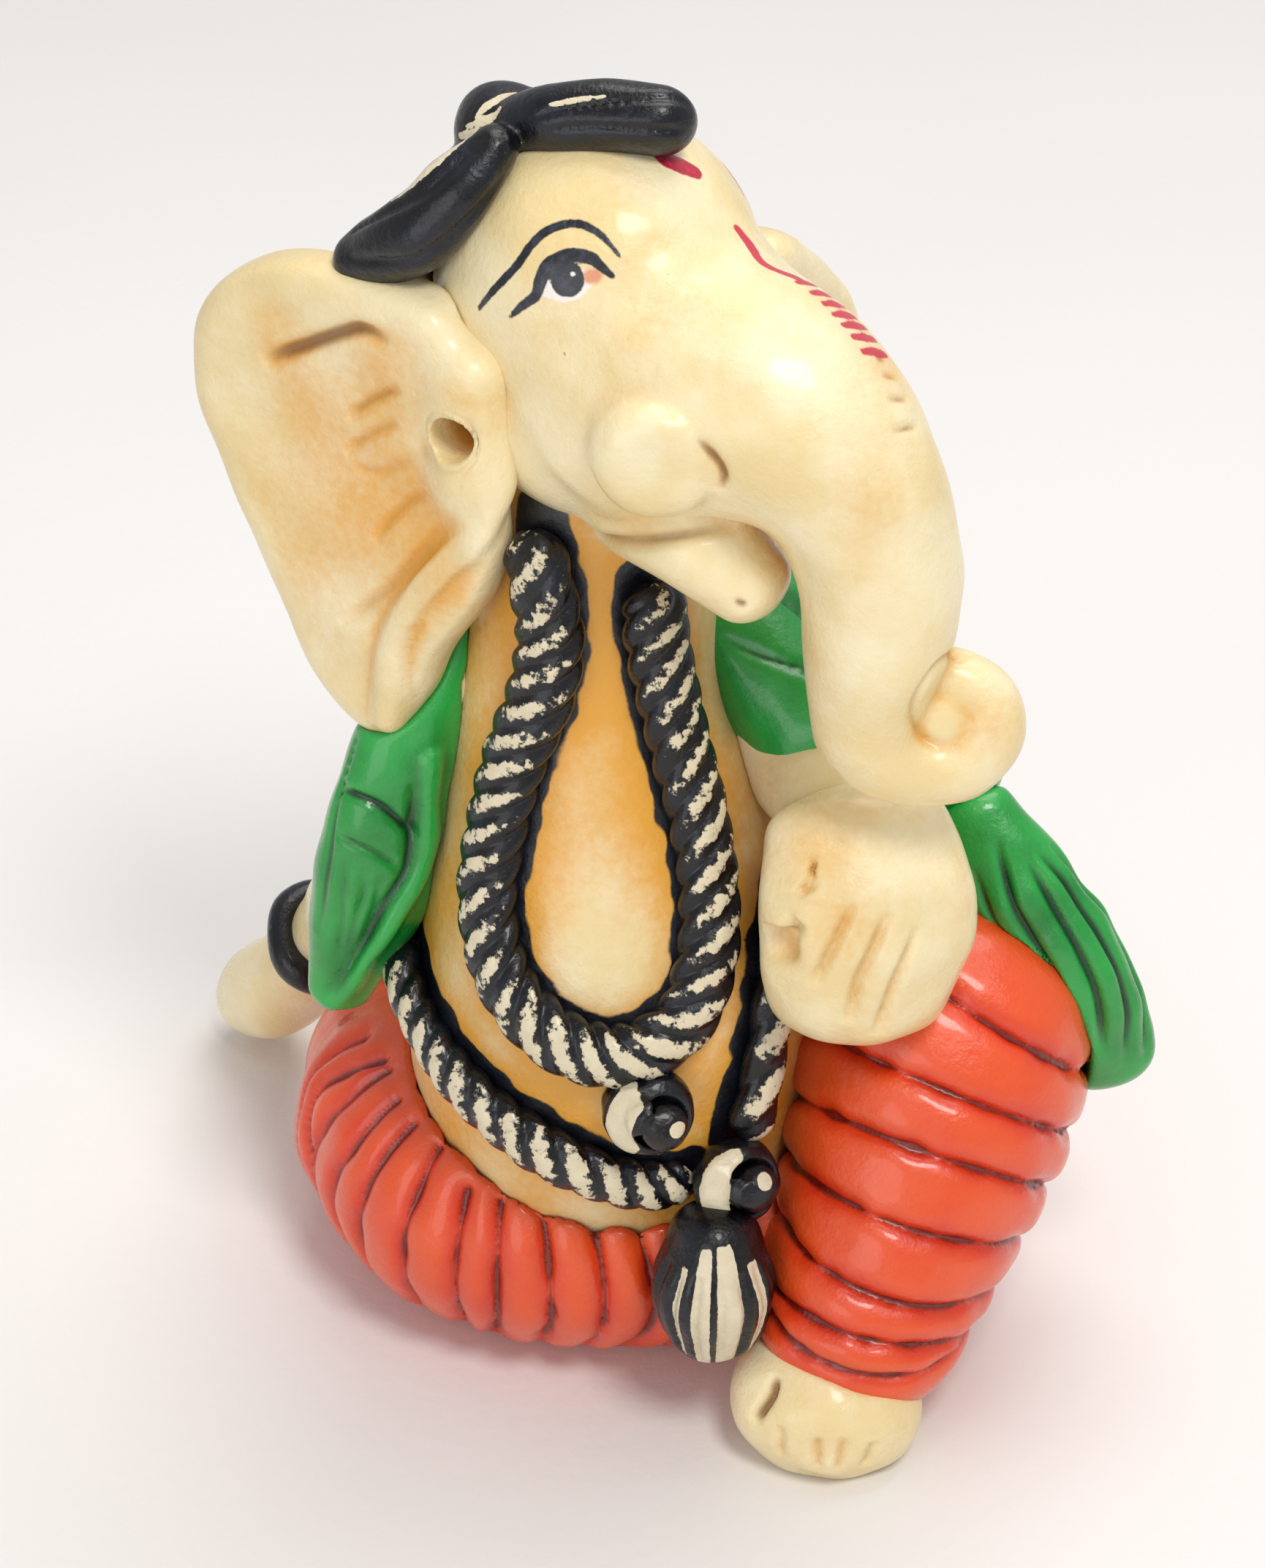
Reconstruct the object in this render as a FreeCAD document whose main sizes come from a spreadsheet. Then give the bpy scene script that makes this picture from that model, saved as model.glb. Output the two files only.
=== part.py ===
"""Seated elephant-headed devotional figurine, built from the lumps and rolls its modeller joins together.

Row frame, in millimetres: +Z up, the sitter's chest faces -Y, the sitter's right hand is on -X, and the
origin is the middle of the flat underside of the seat. The figure leans back on its right hand, with its
right leg folded on the ground, its left knee raised, and its head turned to its left and tipped up.
"""

import math
import os

import FreeCAD
import Part
import Sketcher

Vector = FreeCAD.Vector
Rotation = FreeCAD.Rotation
Placement = FreeCAD.Placement

doc = FreeCAD.newDocument("seated_figurine")
sheet = doc.addObject("Spreadsheet::Sheet", "Sizes")

# ---------------------------------------------------------------- driving dimensions
SIZES = {
    "belly": 12.6,  # half width of the belly
    "seat": 16.0,  # half width of the hips
    "folded_leg": 8.7,  # radius of the folded leg at its knee
    "raised_leg": 9.6,  # radius of the raised leg at its knee
    "foot": 5.6,  # half width of the front foot
    "palm": 6.6,  # half width of a hand
    "arm": 4.4,  # radius of an arm at its shoulder
    "sleeve": 5.0,  # half width of a shawl's end at its widest
    "skull": 9.8,  # half length of the skull
    "trunk_root": 7.0,  # radius of the trunk where it leaves the face
    "tusk": 3.4,  # radius of a tusk stub
    "lip": 3.5,  # half width of the lower lip
    "ear_thick": 4.4,  # thickness of an ear
    "ear_canal": 1.3,  # radius of the ear hole
    "hair_roll": 2.5,  # radius of the forelock
    "rope": 2.1,  # radius of the neck rope
    "waist": 2.0,  # radius of the waist rope
    "stud": 2.8,  # radius of a round stud
    "tassel": 4.0,  # radius of the tassel
    "bangle": 1.4,  # radius of the bangle's ring section
    "wrist_ring": 3.6,  # radius of the bangle's centre line
    "floor_box": 120.0,  # side of the block that flattens the underside
}
for row, (alias, value) in enumerate(SIZES.items(), start=1):
    sheet.set(f"A{row}", alias)
    sheet.set(f"B{row}", str(value))
    sheet.setAlias(f"B{row}", alias)
doc.recompute()

# The head has a frame of its own: x forward along the face, y to the sitter's left, z up.
HEAD_CENTRE = Vector(-2.1, -3.0, 71.6)
HEAD_TURN_DEG = -54.0
HEAD = Placement(HEAD_CENTRE, Rotation(Vector(0, 0, 1), HEAD_TURN_DEG))

DOME = (25.0, 50.0, 75.0)  # angles in degrees of the rings that round off a roll's end
LUMPS = {}  # node name -> its whole lump, before anything is pressed into it
PARTS = {}  # node name -> document object that is written out


# ---------------------------------------------------------------- small helpers
def bind(obj, **links):
    """Binds each named property of obj to an expression in the sheet's aliases."""
    for prop, text in links.items():
        obj.setExpression(prop, text)


def share(alias, factor):
    return f"Sizes.{alias} * {factor:.4f}"


def ellipsoid(name, alias, centre, shares, turn=Rotation()):
    """A Part::Ellipsoid whose half lengths along x, y and z are shares of one cell."""
    obj = doc.addObject("Part::Ellipsoid", name)
    bind(obj, Radius2=share(alias, shares[0]), Radius3=share(alias, shares[1]), Radius1=share(alias, shares[2]))
    obj.Angle1, obj.Angle2, obj.Angle3 = -90, 90, 360
    obj.Placement = Placement(Vector(*centre), turn)
    return obj


def ring(name, alias, centre, along, wide, factor, flat):
    """One elliptical section of a roll: its normal is along and its long axis is wide."""
    obj = doc.addObject("Part::Ellipse", name)
    bind(obj, MajorRadius=share(alias, factor), MinorRadius=share(alias, factor * flat))
    obj.Placement = Placement(centre, Rotation(wide, along.cross(wide), along, "ZXY"))
    return obj


def tip(name, point):
    obj = doc.addObject("Part::Vertex", name)
    obj.X, obj.Y, obj.Z = point
    return obj


def roll(name, alias, stations, wide=(0.0, 0.0, 1.0), flat=0.999):
    """A hand-rolled lump: a loft through rings at stations (x, y, z, share), with domed ends.

    The rings do not twist about the roll: each takes its long axis from the one before.
    """
    points = [Vector(*s[:3]) for s in stations]
    size = SIZES[alias]
    last = len(points) - 1
    ways = [(points[min(i + 1, last)] - points[max(i - 1, 0)]).normalize() for i in range(last + 1)]
    wides = []
    carried = Vector(*wide)
    for way in ways:
        carried = (carried - way * carried.dot(way)).normalize()
        wides.append(carried)
    sections = []

    def add(centre, index, factor):
        label = f"{name}_{len(sections)}"
        sections.append(ring(label, alias, centre, ways[index], wides[index], factor, flat))

    def dome(index, outward, angles):
        factor = stations[index][3]
        for angle in angles:
            a = math.radians(angle)
            add(points[index] + outward * (size * factor * flat * math.sin(a)), index, factor * math.cos(a))

    first_out, last_out = ways[0] * -1.0, ways[last]
    sections.append(tip(f"{name}_start", points[0] + first_out * (size * stations[0][3] * flat)))
    dome(0, first_out, reversed(DOME))
    for i, station in enumerate(stations):
        add(points[i], i, station[3])
    dome(last, last_out, DOME)
    sections.append(tip(f"{name}_end", points[last] + last_out * (size * stations[last][3] * flat)))
    obj = doc.addObject("Part::Loft", name)
    obj.Sections, obj.Solid, obj.Ruled = sections, True, False
    return obj


def fused(name, *pieces):
    obj = doc.addObject("Part::MultiFuse", name)
    obj.Shapes, obj.Refine = list(pieces), False
    return obj


def pressed(name, lump, *under):
    """lump less the lumps it is pressed on, so that it meets them face to face."""
    for other in under:
        cut = doc.addObject("Part::Cut", f"{name}_on_{other}")
        cut.Base, cut.Tool, cut.Refine = lump, LUMPS[other], False
        lump = cut
    return lump


def keep(node, lump, *under):
    """Finishes sub-part node: its lump, pressed on the lumps under it."""
    LUMPS[node] = lump
    PARTS[node] = pressed(node, lump, *under)
    PARTS[node].Label = node


def in_head(x, y, z):
    return HEAD.multVec(Vector(x, y, z))


def head_side(stations, side):
    """Stations in the head's frame, with y counted outward, placed on the right (-1) or left (+1)."""
    return [(*in_head(x, side * y, z), factor) for x, y, z, factor in stations]


def origin_plane(body, role):
    return next(f for f in body.Origin.OriginFeatures if f.Role == role)


def body_sketch(body, role, name):
    sketch = body.newObject("Sketcher::SketchObject", name)
    sketch.AttachmentSupport = [(origin_plane(body, role), "")]
    sketch.MapMode = "FlatFace"
    return sketch


# ---------------------------------------------------------------- ground
ground = doc.addObject("Part::Box", "ground")
bind(ground, Length="Sizes.floor_box", Width="Sizes.floor_box", Height="Sizes.floor_box")
half = SIZES["floor_box"] / 2
ground.Placement = Placement(Vector(-half, -half, -2 * half), Rotation())
LUMPS["ground"] = ground

# ---------------------------------------------------------------- hips and belly
seat = ellipsoid("seat_lump", "seat", (-2.0, 3.0, 7.0), (1.0, 0.84, 0.78))
keep("dhoti_seat", seat, "ground")

TORSO = [  # height, centre x, centre y, half width as a share of the belly
    (6.0, -1.5, -2.0, 0.80),
    (12.0, -1.5, -3.5, 0.98),
    (19.0, -1.5, -4.6, 1.05),
    (26.0, -1.5, -4.8, 1.02),
    (33.0, -1.6, -4.0, 0.92),
    (40.0, -2.1, -3.2, 0.78),
    (46.0, -2.5, -2.8, 0.66),
    (52.0, -2.6, -3.0, 0.56),
    (58.0, -2.6, -3.4, 0.50),
]
torso = roll("torso_lump", "belly", [(x, y, z, f) for z, x, y, f in TORSO], wide=(0.0, 1.0, 0.0))
keep("torso", torso, "ground", "dhoti_seat")


def on_torso(angle, height, lift):
    """A point lift outside the belly: angle in degrees from the front towards the sitter's left."""
    index = next(i for i in range(1, len(TORSO)) if TORSO[i][0] > height or i == len(TORSO) - 1)
    low, high = TORSO[index - 1], TORSO[index]
    t = (height - low[0]) / (high[0] - low[0])
    x, y, f = (low[k] + t * (high[k] - low[k]) for k in (1, 2, 3))
    reach = f * SIZES["belly"] + lift
    return x + reach * math.sin(math.radians(angle)), y - reach * math.cos(math.radians(angle)), height


# ---------------------------------------------------------------- head
cranium = ellipsoid("cranium", "skull", HEAD_CENTRE, (1.0, 0.92, 1.0), HEAD.Rotation)
cheeks = ellipsoid("cheeks", "skull", in_head(1.5, 0.0, -6.0), (1.0, 0.9, 0.84), HEAD.Rotation)
keep("head", fused("head_lump", cranium, cheeks))

TRUNK = [
    (0.0, -7.0, 67.5, 1.15),
    (3.6, -11.0, 68.0, 1.08),
    (6.8, -14.2, 67.0, 0.93),
    (9.4, -16.4, 64.0, 0.76),
    (10.6, -17.8, 60.0, 0.68),
    (10.6, -18.9, 56.0, 0.62),
    (10.0, -19.2, 52.6, 0.53),
    (9.9, -19.4, 50.2, 0.45),
]
CURL_CENTRE = Vector(14.3, -20.0, 50.3)
CURL = [  # turn in degrees from the curl's outer side, distance from its centre, share of the trunk
    (180, 4.4, 0.45),
    (212, 3.7, 0.40),
    (245, 3.0, 0.34),
    (280, 2.7, 0.33),
    (320, 2.6, 0.32),
    (360, 2.5, 0.31),
    (400, 2.5, 0.29),
    (440, 2.5, 0.27),
]
curl_across, curl_up = Vector(0.978, -0.208, 0.0), Vector(0.05, 0.30, 0.95)
curl_stations = []
for turn, reach, factor in CURL:
    a = math.radians(turn)
    spot = CURL_CENTRE + curl_across * (reach * math.cos(a)) + curl_up * (reach * math.sin(a))
    curl_stations.append((*spot, factor))
trunk_tube = roll("trunk_tube", "trunk_root", TRUNK, wide=(0.25, 1.0, 0.0))
trunk_curl = roll("trunk_curl", "trunk_root", curl_stations, wide=(0.208, 0.978, 0.0))
trunk_ball = ellipsoid("trunk_ball", "trunk_root", CURL_CENTRE, (0.36, 0.28, 0.36))
trunk = fused("trunk_lump", pressed("trunk_tube", trunk_tube, "head"), trunk_curl, trunk_ball)
keep("trunk", trunk)
LUMPS["trunk_tube"], LUMPS["trunk_curl"] = trunk_tube, trunk_curl

LIP = [
    (-1.5, -9.0, 60.5, 0.95),
    (1.8, -12.6, 59.8, 1.05),
    (4.0, -14.6, 57.6, 0.80),
]
lip = roll("lip_lump", "lip", LIP, wide=(1.0, -0.3, 0.0), flat=0.8)
keep("lower_lip", lip, "head", "trunk_tube")

TUSK = [(8.4, 3.4, -4.6, 0.95), (10.2, 6.6, -5.8, 1.05)]
for label, side in (("right", -1), ("left", 1)):
    tusk = roll(f"{label}_tusk_lump", "tusk", head_side(TUSK, side))
    keep(f"{label}_tusk", tusk, "head", "trunk_tube")

# ---------------------------------------------------------------- ears
EAR = [  # outline of an ear seen from its hollow side: back from its root, and up
    (2.1, 12.7),
    (8.1, 13.3),
    (14.0, 12.0),
    (18.3, 7.5),
    (17.0, -1.6),
    (13.6, -9.0),
    (9.6, -15.8),
    (6.0, -17.3),
    (2.4, -11.8),
    (-2.2, -3.0),
    (-1.2, 5.0),
]
EAR_HOLE = (1.1, 3.9)


def ear(label, placement):
    body = doc.addObject("PartDesign::Body", f"{label}_ear_body")
    outline = body_sketch(body, "XY_Plane", f"{label}_ear_outline")
    curve = Part.BSplineCurve()
    curve.interpolate([Vector(x, y, 0) for x, y in EAR], PeriodicFlag=True)
    outline.addGeometry(curve, False)
    pad = body.newObject("PartDesign::Pad", f"{label}_ear_pad")
    pad.Profile, pad.Midplane = outline, True
    bind(pad, Length="Sizes.ear_thick")
    doc.recompute()
    rim = body.newObject("PartDesign::Fillet", f"{label}_ear_rim")
    flat_edges = [i for i, e in enumerate(pad.Shape.Edges, 1) if e.BoundBox.ZLength < 0.01]
    rim.Base = (pad, [f"Edge{i}" for i in flat_edges])
    bind(rim, Radius="Sizes.ear_thick * 0.40")
    hole = body_sketch(body, "XY_Plane", f"{label}_ear_hole")
    hole.addGeometry(Part.Circle(Vector(*EAR_HOLE, 0), Vector(0, 0, 1), SIZES["ear_canal"]), False)
    hole.addConstraint(Sketcher.Constraint("Radius", 0, SIZES["ear_canal"]))
    bind(hole, **{"Constraints[0]": "Sizes.ear_canal"})
    canal = body.newObject("PartDesign::Pocket", f"{label}_ear_canal")
    canal.Profile = hole
    bind(canal, Length="Sizes.ear_thick")
    body.Tip = canal
    body.Placement = placement
    return body


EAR_LEAN_DEG = 45.0  # how far the left ear hangs down in its own plane
right_back, right_out = Vector(-0.72, 0.69, 0.0), Vector(0.69, 0.72, 0.0)
left_back = HEAD.Rotation.multVec(Vector(-0.10, 0.995, 0.0))
up = Vector(0.0, 0.0, 1.0)
right_stand = Placement(Vector(-10.5, -7.0, 60.0), Rotation(right_back, up, right_out, "XYZ"))
left_stand = Placement(in_head(-1.5, 8.0, -12.0), Rotation(left_back, up, left_back.cross(up), "XYZ"))
left_stand = left_stand * Placement(Vector(), Rotation(Vector(0, 0, 1), -EAR_LEAN_DEG))
keep("right_ear", ear("right", right_stand), "head")
keep("left_ear", ear("left", left_stand), "head")

# ---------------------------------------------------------------- hair
cap = ellipsoid("cap_lump", "skull", in_head(-2.4, 0.0, 0.8), (0.84, 0.97, 0.98), HEAD.Rotation)
keep("hair_cap", cap, "head")

FORELOCK = [(-6.6, -2.6, 79.6, 0.85), (-3.2, -4.6, 82.0, 1.0), (1.4, -6.4, 82.2, 1.0)]
SIDE_LOCK = [
    (-1.9, 5.4, 8.8, 0.70),
    (-2.8, 7.3, 6.8, 0.95),
    (-4.8, 8.6, 4.4, 1.0),
    (-8.0, 9.4, 2.8, 0.92),
    (-10.4, 10.2, 2.4, 0.78),
]
keep("forelock", roll("forelock_lump", "hair_roll", FORELOCK), "head", "hair_cap")
for label, side in (("right", -1), ("left", 1)):
    lock = roll(f"{label}_lock_lump", "hair_roll", head_side(SIDE_LOCK, side))
    keep(f"{label}_side_lock", lock, "head", "hair_cap", "forelock")
bun = ellipsoid("bun_lump", "hair_roll", (-7.0, -0.4, 80.0), (1.15, 1.2, 1.0))
keep("hair_bun", bun, "head", "hair_cap", "forelock", "right_side_lock")

# ---------------------------------------------------------------- legs and foot
FOLDED_THIGH = [(3.0, 13.0, 7.0, 0.80), (-5.4, 10.6, 7.8, 0.94), (-11.6, 5.4, 8.8, 1.02)]
FOLDED_SHIN = [(-12.6, 0.6, 8.8, 1.06), (-9.6, -6.4, 8.8, 1.04), (-3.4, -9.8, 8.4, 0.98), (5.0, -11.2, 7.8, 0.88)]
folded_thigh = roll("folded_thigh_lump", "folded_leg", FOLDED_THIGH)
folded_shin = roll("folded_shin_lump", "folded_leg", FOLDED_SHIN)
LUMPS["folded_thigh"], LUMPS["folded_shin"] = folded_thigh, folded_shin
folded_thigh = pressed("folded_thigh", folded_thigh, "ground", "torso", "dhoti_seat", "folded_shin")
folded_shin = pressed("folded_shin", folded_shin, "ground", "torso", "dhoti_seat")
keep("right_leg", fused("folded_leg_lump", folded_thigh, folded_shin))

THIGH = [(8.0, 4.0, 9.4, 0.86), (12.4, -3.0, 15.6, 0.95), (16.4, -9.6, 20.8, 0.98)]
SHIN = [(17.8, -12.0, 21.6, 0.98), (15.0, -16.8, 15.4, 0.88), (10.8, -21.2, 8.2, 0.70)]
thigh = roll("thigh_lump", "raised_leg", THIGH, wide=(1.0, 0.0, 0.0))
shin = roll("shin_lump", "raised_leg", SHIN, wide=(1.0, 0.0, 0.0))
LUMPS["thigh"], LUMPS["shin"] = thigh, shin
thigh = pressed("thigh", thigh, "torso", "dhoti_seat", "folded_shin", "shin")
shin = pressed("shin", shin, "ground", "folded_shin")
keep("left_leg", fused("raised_leg_lump", thigh, shin))

FOOT = [(8.6, -21.6, 4.0, 1.0), (7.6, -24.6, 3.2, 1.08)]
left_foot = roll("foot_lump", "foot", FOOT, wide=(1.0, 0.0, 0.0), flat=0.78)
keep("left_foot", left_foot, "ground", "shin", "folded_shin")

# ---------------------------------------------------------------- arms and hands
RIGHT_ARM = [
    (-9.6, -0.6, 45.0, 0.90),
    (-13.6, 2.6, 36.0, 0.98),
    (-17.2, 8.4, 25.0, 0.90),
    (-18.6, 15.0, 16.4, 0.76),
    (-19.6, 18.4, 11.0, 0.70),
]
right_arm = roll("right_arm_lump", "arm", RIGHT_ARM)
keep("right_arm", right_arm, "torso", "dhoti_seat", "folded_shin", "folded_thigh")
RIGHT_HAND = [(-20.0, 20.6, 7.2, 0.62), (-21.4, 23.4, 3.4, 0.78), (-22.2, 26.4, 1.6, 0.70)]
right_hand = roll("right_hand_lump", "palm", RIGHT_HAND, wide=(1.0, 0.0, 0.0), flat=0.7)
keep("right_hand", right_hand, "ground", "right_arm")

LEFT_ARM = [(5.0, -1.6, 46.0, 1.0), (8.6, -7.0, 42.0, 0.96), (10.6, -13.0, 40.2, 0.84)]
left_arm = roll("left_arm_lump", "arm", LEFT_ARM)
keep("left_arm", left_arm, "torso", "trunk_tube", "trunk_curl")
LEFT_HAND = [(10.6, -16.6, 40.0, 0.90), (10.6, -19.0, 36.0, 1.0), (10.0, -19.4, 31.6, 0.88)]
left_hand = roll("left_hand_lump", "palm", LEFT_HAND, wide=(1.0, 0.0, 0.0), flat=0.62)
keep("left_hand", left_hand, "trunk_curl", "left_arm", "thigh", "shin")

bangle_body = doc.addObject("PartDesign::Body", "bangle_body")
bangle_ring = body_sketch(bangle_body, "XZ_Plane", "bangle_section")
bangle_ring.addGeometry(Part.Circle(Vector(SIZES["wrist_ring"], 0, 0), Vector(0, 0, 1), SIZES["bangle"]), False)
bangle_ring.addConstraint(Sketcher.Constraint("Radius", 0, SIZES["bangle"]))
bangle_ring.addConstraint(Sketcher.Constraint("DistanceX", -1, 1, 0, 3, SIZES["wrist_ring"]))
bangle_ring.addConstraint(Sketcher.Constraint("PointOnObject", 0, 3, -1))
bind(bangle_ring, **{"Constraints[0]": "Sizes.bangle", "Constraints[1]": "Sizes.wrist_ring"})
bangle_turn = bangle_body.newObject("PartDesign::Revolution", "bangle_turn")
bangle_turn.Profile, bangle_turn.ReferenceAxis = bangle_ring, (bangle_ring, ["V_Axis"])
bangle_body.Tip = bangle_turn
wrist_way = Vector(*RIGHT_ARM[-1][:3]) - Vector(*RIGHT_ARM[-2][:3])
bangle_body.Placement = Placement(Vector(-19.4, 17.9, 11.8), Rotation(Vector(0, 0, 1), wrist_way))
keep("bangle", bangle_body, "right_arm", "right_hand")

# ---------------------------------------------------------------- shawl
RIGHT_SLEEVE = [
    (-9.4, -1.6, 47.6, 0.60),
    (-12.8, -2.2, 42.4, 0.86),
    (-15.2, -3.0, 36.0, 0.94),
    (-17.0, -3.6, 30.4, 0.84),
    (-19.0, -4.4, 25.4, 0.50),
]
right_sleeve = roll("right_sleeve_lump", "sleeve", RIGHT_SLEEVE, wide=(1.0, 0.4, 0.3), flat=0.7)
keep("right_sleeve", right_sleeve, "torso", "right_arm", "folded_shin", "right_ear")
LEFT_SLEEVE = [
    (2.6, 1.6, 50.6, 0.75),
    (7.6, -0.6, 47.0, 0.92),
    (13.4, -4.0, 42.6, 0.86),
    (19.0, -7.4, 37.6, 0.72),
]
left_sleeve = roll("left_sleeve_lump", "sleeve", LEFT_SLEEVE, flat=0.8)
keep("left_sleeve", left_sleeve, "torso", "left_arm", "head", "trunk_tube")
LEFT_DRAPE = [(19.6, -9.6, 35.0, 0.74), (22.6, -12.0, 30.0, 0.90), (25.4, -13.6, 24.6, 0.94), (27.6, -14.4, 20.2, 0.72)]
left_drape = roll("left_drape_lump", "sleeve", LEFT_DRAPE, wide=(0.8, -0.6, 0.4), flat=0.72)
keep("left_drape", left_drape, "left_sleeve", "thigh", "shin")
SHAWL_BACK = [
    (-12.4, 1.2, 42.0, 0.62),
    (-9.0, 5.0, 44.6, 0.88),
    (-2.6, 7.0, 46.0, 0.98),
    (3.4, 5.0, 48.0, 0.88),
]
shawl_back = roll("shawl_back_lump", "sleeve", SHAWL_BACK, flat=0.5)
keep("shawl_back", shawl_back, "torso", "right_arm", "right_sleeve")

# ---------------------------------------------------------------- ropes, studs and tassel
NECK_ROPE = [  # angle round the belly, height, share of the rope
    (-42, 59.0),
    (-35, 55.6),
    (-30, 52.2),
    (-33, 48.6),
    (-42, 44.4),
    (-48, 39.8),
    (-50, 35.2),
    (-43, 31.0),
    (-28, 28.2),
    (-11, 27.4),
    (5, 29.0),
    (14, 32.4),
    (19, 36.4),
    (21, 40.6),
    (20, 44.6),
    (18, 48.4),
    (16, 52.0),
    (16, 55.6),
]
neck_rope = roll("neck_rope_lump", "rope", [(*on_torso(a, z, 0.9), 1.0) for a, z in NECK_ROPE])
keep("neck_rope", neck_rope, "torso", "head", "right_sleeve", "left_sleeve")


def stud(label, centre, outward):
    """A round stud: a flat dome set on its face, with a smaller knob in its middle."""
    body = doc.addObject("PartDesign::Body", f"{label}_body")
    section = body_sketch(body, "XZ_Plane", f"{label}_section")
    size = SIZES["stud"]
    path = [(0, -0.5), (0.86, -0.5), (1.0, -0.1), (0.9, 0.3), (0.56, 0.52), (0.5, 0.78), (0.3, 0.95), (0, 1.0)]
    corners = [Vector(x * size, y * size, 0) for x, y in path]
    for a, b in zip(corners, corners[1:] + corners[:1]):
        section.addGeometry(Part.LineSegment(a, b), False)
    turn = body.newObject("PartDesign::Revolution", f"{label}_turn")
    turn.Profile, turn.ReferenceAxis = section, (section, ["V_Axis"])
    body.Tip = turn
    body.Placement = Placement(Vector(*centre), Rotation(Vector(0, 0, 1), Vector(*outward)))
    return body


pendant = stud("pendant", on_torso(-5, 24.2, 1.6), (-0.1, -1.0, 0.25))
keep("pendant", pendant, "torso", "neck_rope")
clasp_at = on_torso(16, 17.8, 2.6)
clasp = stud("clasp", clasp_at, (0.2, -1.0, 0.35))
keep("clasp", clasp, "torso", "folded_shin", "shin")

WAIST_RIGHT = [(-96, 27.2), (-84, 26.2), (-70, 24.6), (-54, 22.8), (-38, 21.0), (-22, 19.2), (-6, 17.6), (8, 17.2)]
waist_right = roll("waist_right_lump", "waist", [(*on_torso(a, z, 1.2), 1.0) for a, z in WAIST_RIGHT])
keep("waist_rope_right", waist_right, "torso", "right_sleeve", "clasp")
WAIST_LEFT = [(22, 19.6), (27, 24.0), (33, 28.2), (42, 32.4), (56, 35.2)]
waist_left = roll("waist_left_lump", "waist", [(*on_torso(a, z, 1.0), 1.0) for a, z in WAIST_LEFT])
keep("waist_rope_left", waist_left, "torso", "thigh", "left_hand", "clasp")
WAIST_BACK = [(72, 34.4), (96, 32.0), (124, 30.0), (152, 28.4), (180, 27.6), (208, 27.2), (236, 27.0)]
waist_back = roll("waist_back_lump", "waist", [(*on_torso(a, z, 1.0), 1.0) for a, z in WAIST_BACK])
keep("waist_rope_back", waist_back, "torso", "dhoti_seat", "right_arm", "waist_rope_right")
TASSEL = [(2.4, -21.4, 14.4, 0.62), (2.0, -22.0, 11.4, 0.96), (1.6, -21.8, 8.6, 0.90)]
tassel = roll("tassel_lump", "tassel", TASSEL)
keep("tassel", tassel, "clasp", "folded_shin", "shin", "left_foot", "torso")

doc.recompute()

# ---------------------------------------------------------------- checks and export
os.makedirs("parts", exist_ok=True)
for obj in doc.Objects:
    if "Invalid" in obj.State or "Error" in obj.State:
        raise SystemExit(f"{obj.Name} did not build: {obj.State}")
for node, obj in PARTS.items():
    shape = obj.Shape
    if shape.isNull() or not shape.isValid() or not shape.Solids:
        raise SystemExit(f"{node} has no valid solid")
    print(node, len(shape.Solids), round(shape.Volume), "mm3")
for node, obj in PARTS.items():
    obj.Shape.exportStep(f"parts/{node}.step")
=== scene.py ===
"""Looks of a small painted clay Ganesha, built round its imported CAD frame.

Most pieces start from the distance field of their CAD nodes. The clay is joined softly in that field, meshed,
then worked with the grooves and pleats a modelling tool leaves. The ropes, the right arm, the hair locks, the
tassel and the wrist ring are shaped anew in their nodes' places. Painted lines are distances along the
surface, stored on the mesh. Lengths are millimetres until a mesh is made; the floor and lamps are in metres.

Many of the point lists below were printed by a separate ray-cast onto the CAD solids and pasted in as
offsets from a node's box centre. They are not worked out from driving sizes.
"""

import math

import bpy
import numpy as np
import openvdb
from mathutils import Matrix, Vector


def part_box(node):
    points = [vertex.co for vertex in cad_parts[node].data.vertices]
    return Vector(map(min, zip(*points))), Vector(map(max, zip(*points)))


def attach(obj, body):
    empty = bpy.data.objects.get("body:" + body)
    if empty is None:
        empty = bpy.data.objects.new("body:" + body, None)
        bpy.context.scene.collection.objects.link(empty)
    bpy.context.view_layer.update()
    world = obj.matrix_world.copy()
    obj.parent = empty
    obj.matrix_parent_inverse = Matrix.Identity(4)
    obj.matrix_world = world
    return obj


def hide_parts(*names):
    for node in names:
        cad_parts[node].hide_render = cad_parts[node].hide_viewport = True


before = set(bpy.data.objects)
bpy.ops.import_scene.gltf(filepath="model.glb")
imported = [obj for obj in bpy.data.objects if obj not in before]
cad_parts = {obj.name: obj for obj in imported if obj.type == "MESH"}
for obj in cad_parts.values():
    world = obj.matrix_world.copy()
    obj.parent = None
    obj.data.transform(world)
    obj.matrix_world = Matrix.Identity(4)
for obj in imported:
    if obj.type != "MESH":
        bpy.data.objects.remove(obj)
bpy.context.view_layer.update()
MM = 0.001
BAND = 3.0  # how far from the surface the distances are kept
COARSE = 1.0
FAR = 9.0  # a distance that no painted mark reaches


# ---------------------------------------------------------------- places on the CAD frame
def centre(node):
    low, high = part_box(node)
    return (np.array(low) + np.array(high)) * 0.5 / MM


def off(node, *rows):
    """Points given from the centre of a node's box."""
    return centre(node) + np.array(rows, float)


def unit(v):
    v = np.asarray(v, float)
    return v / np.linalg.norm(v)


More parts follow.
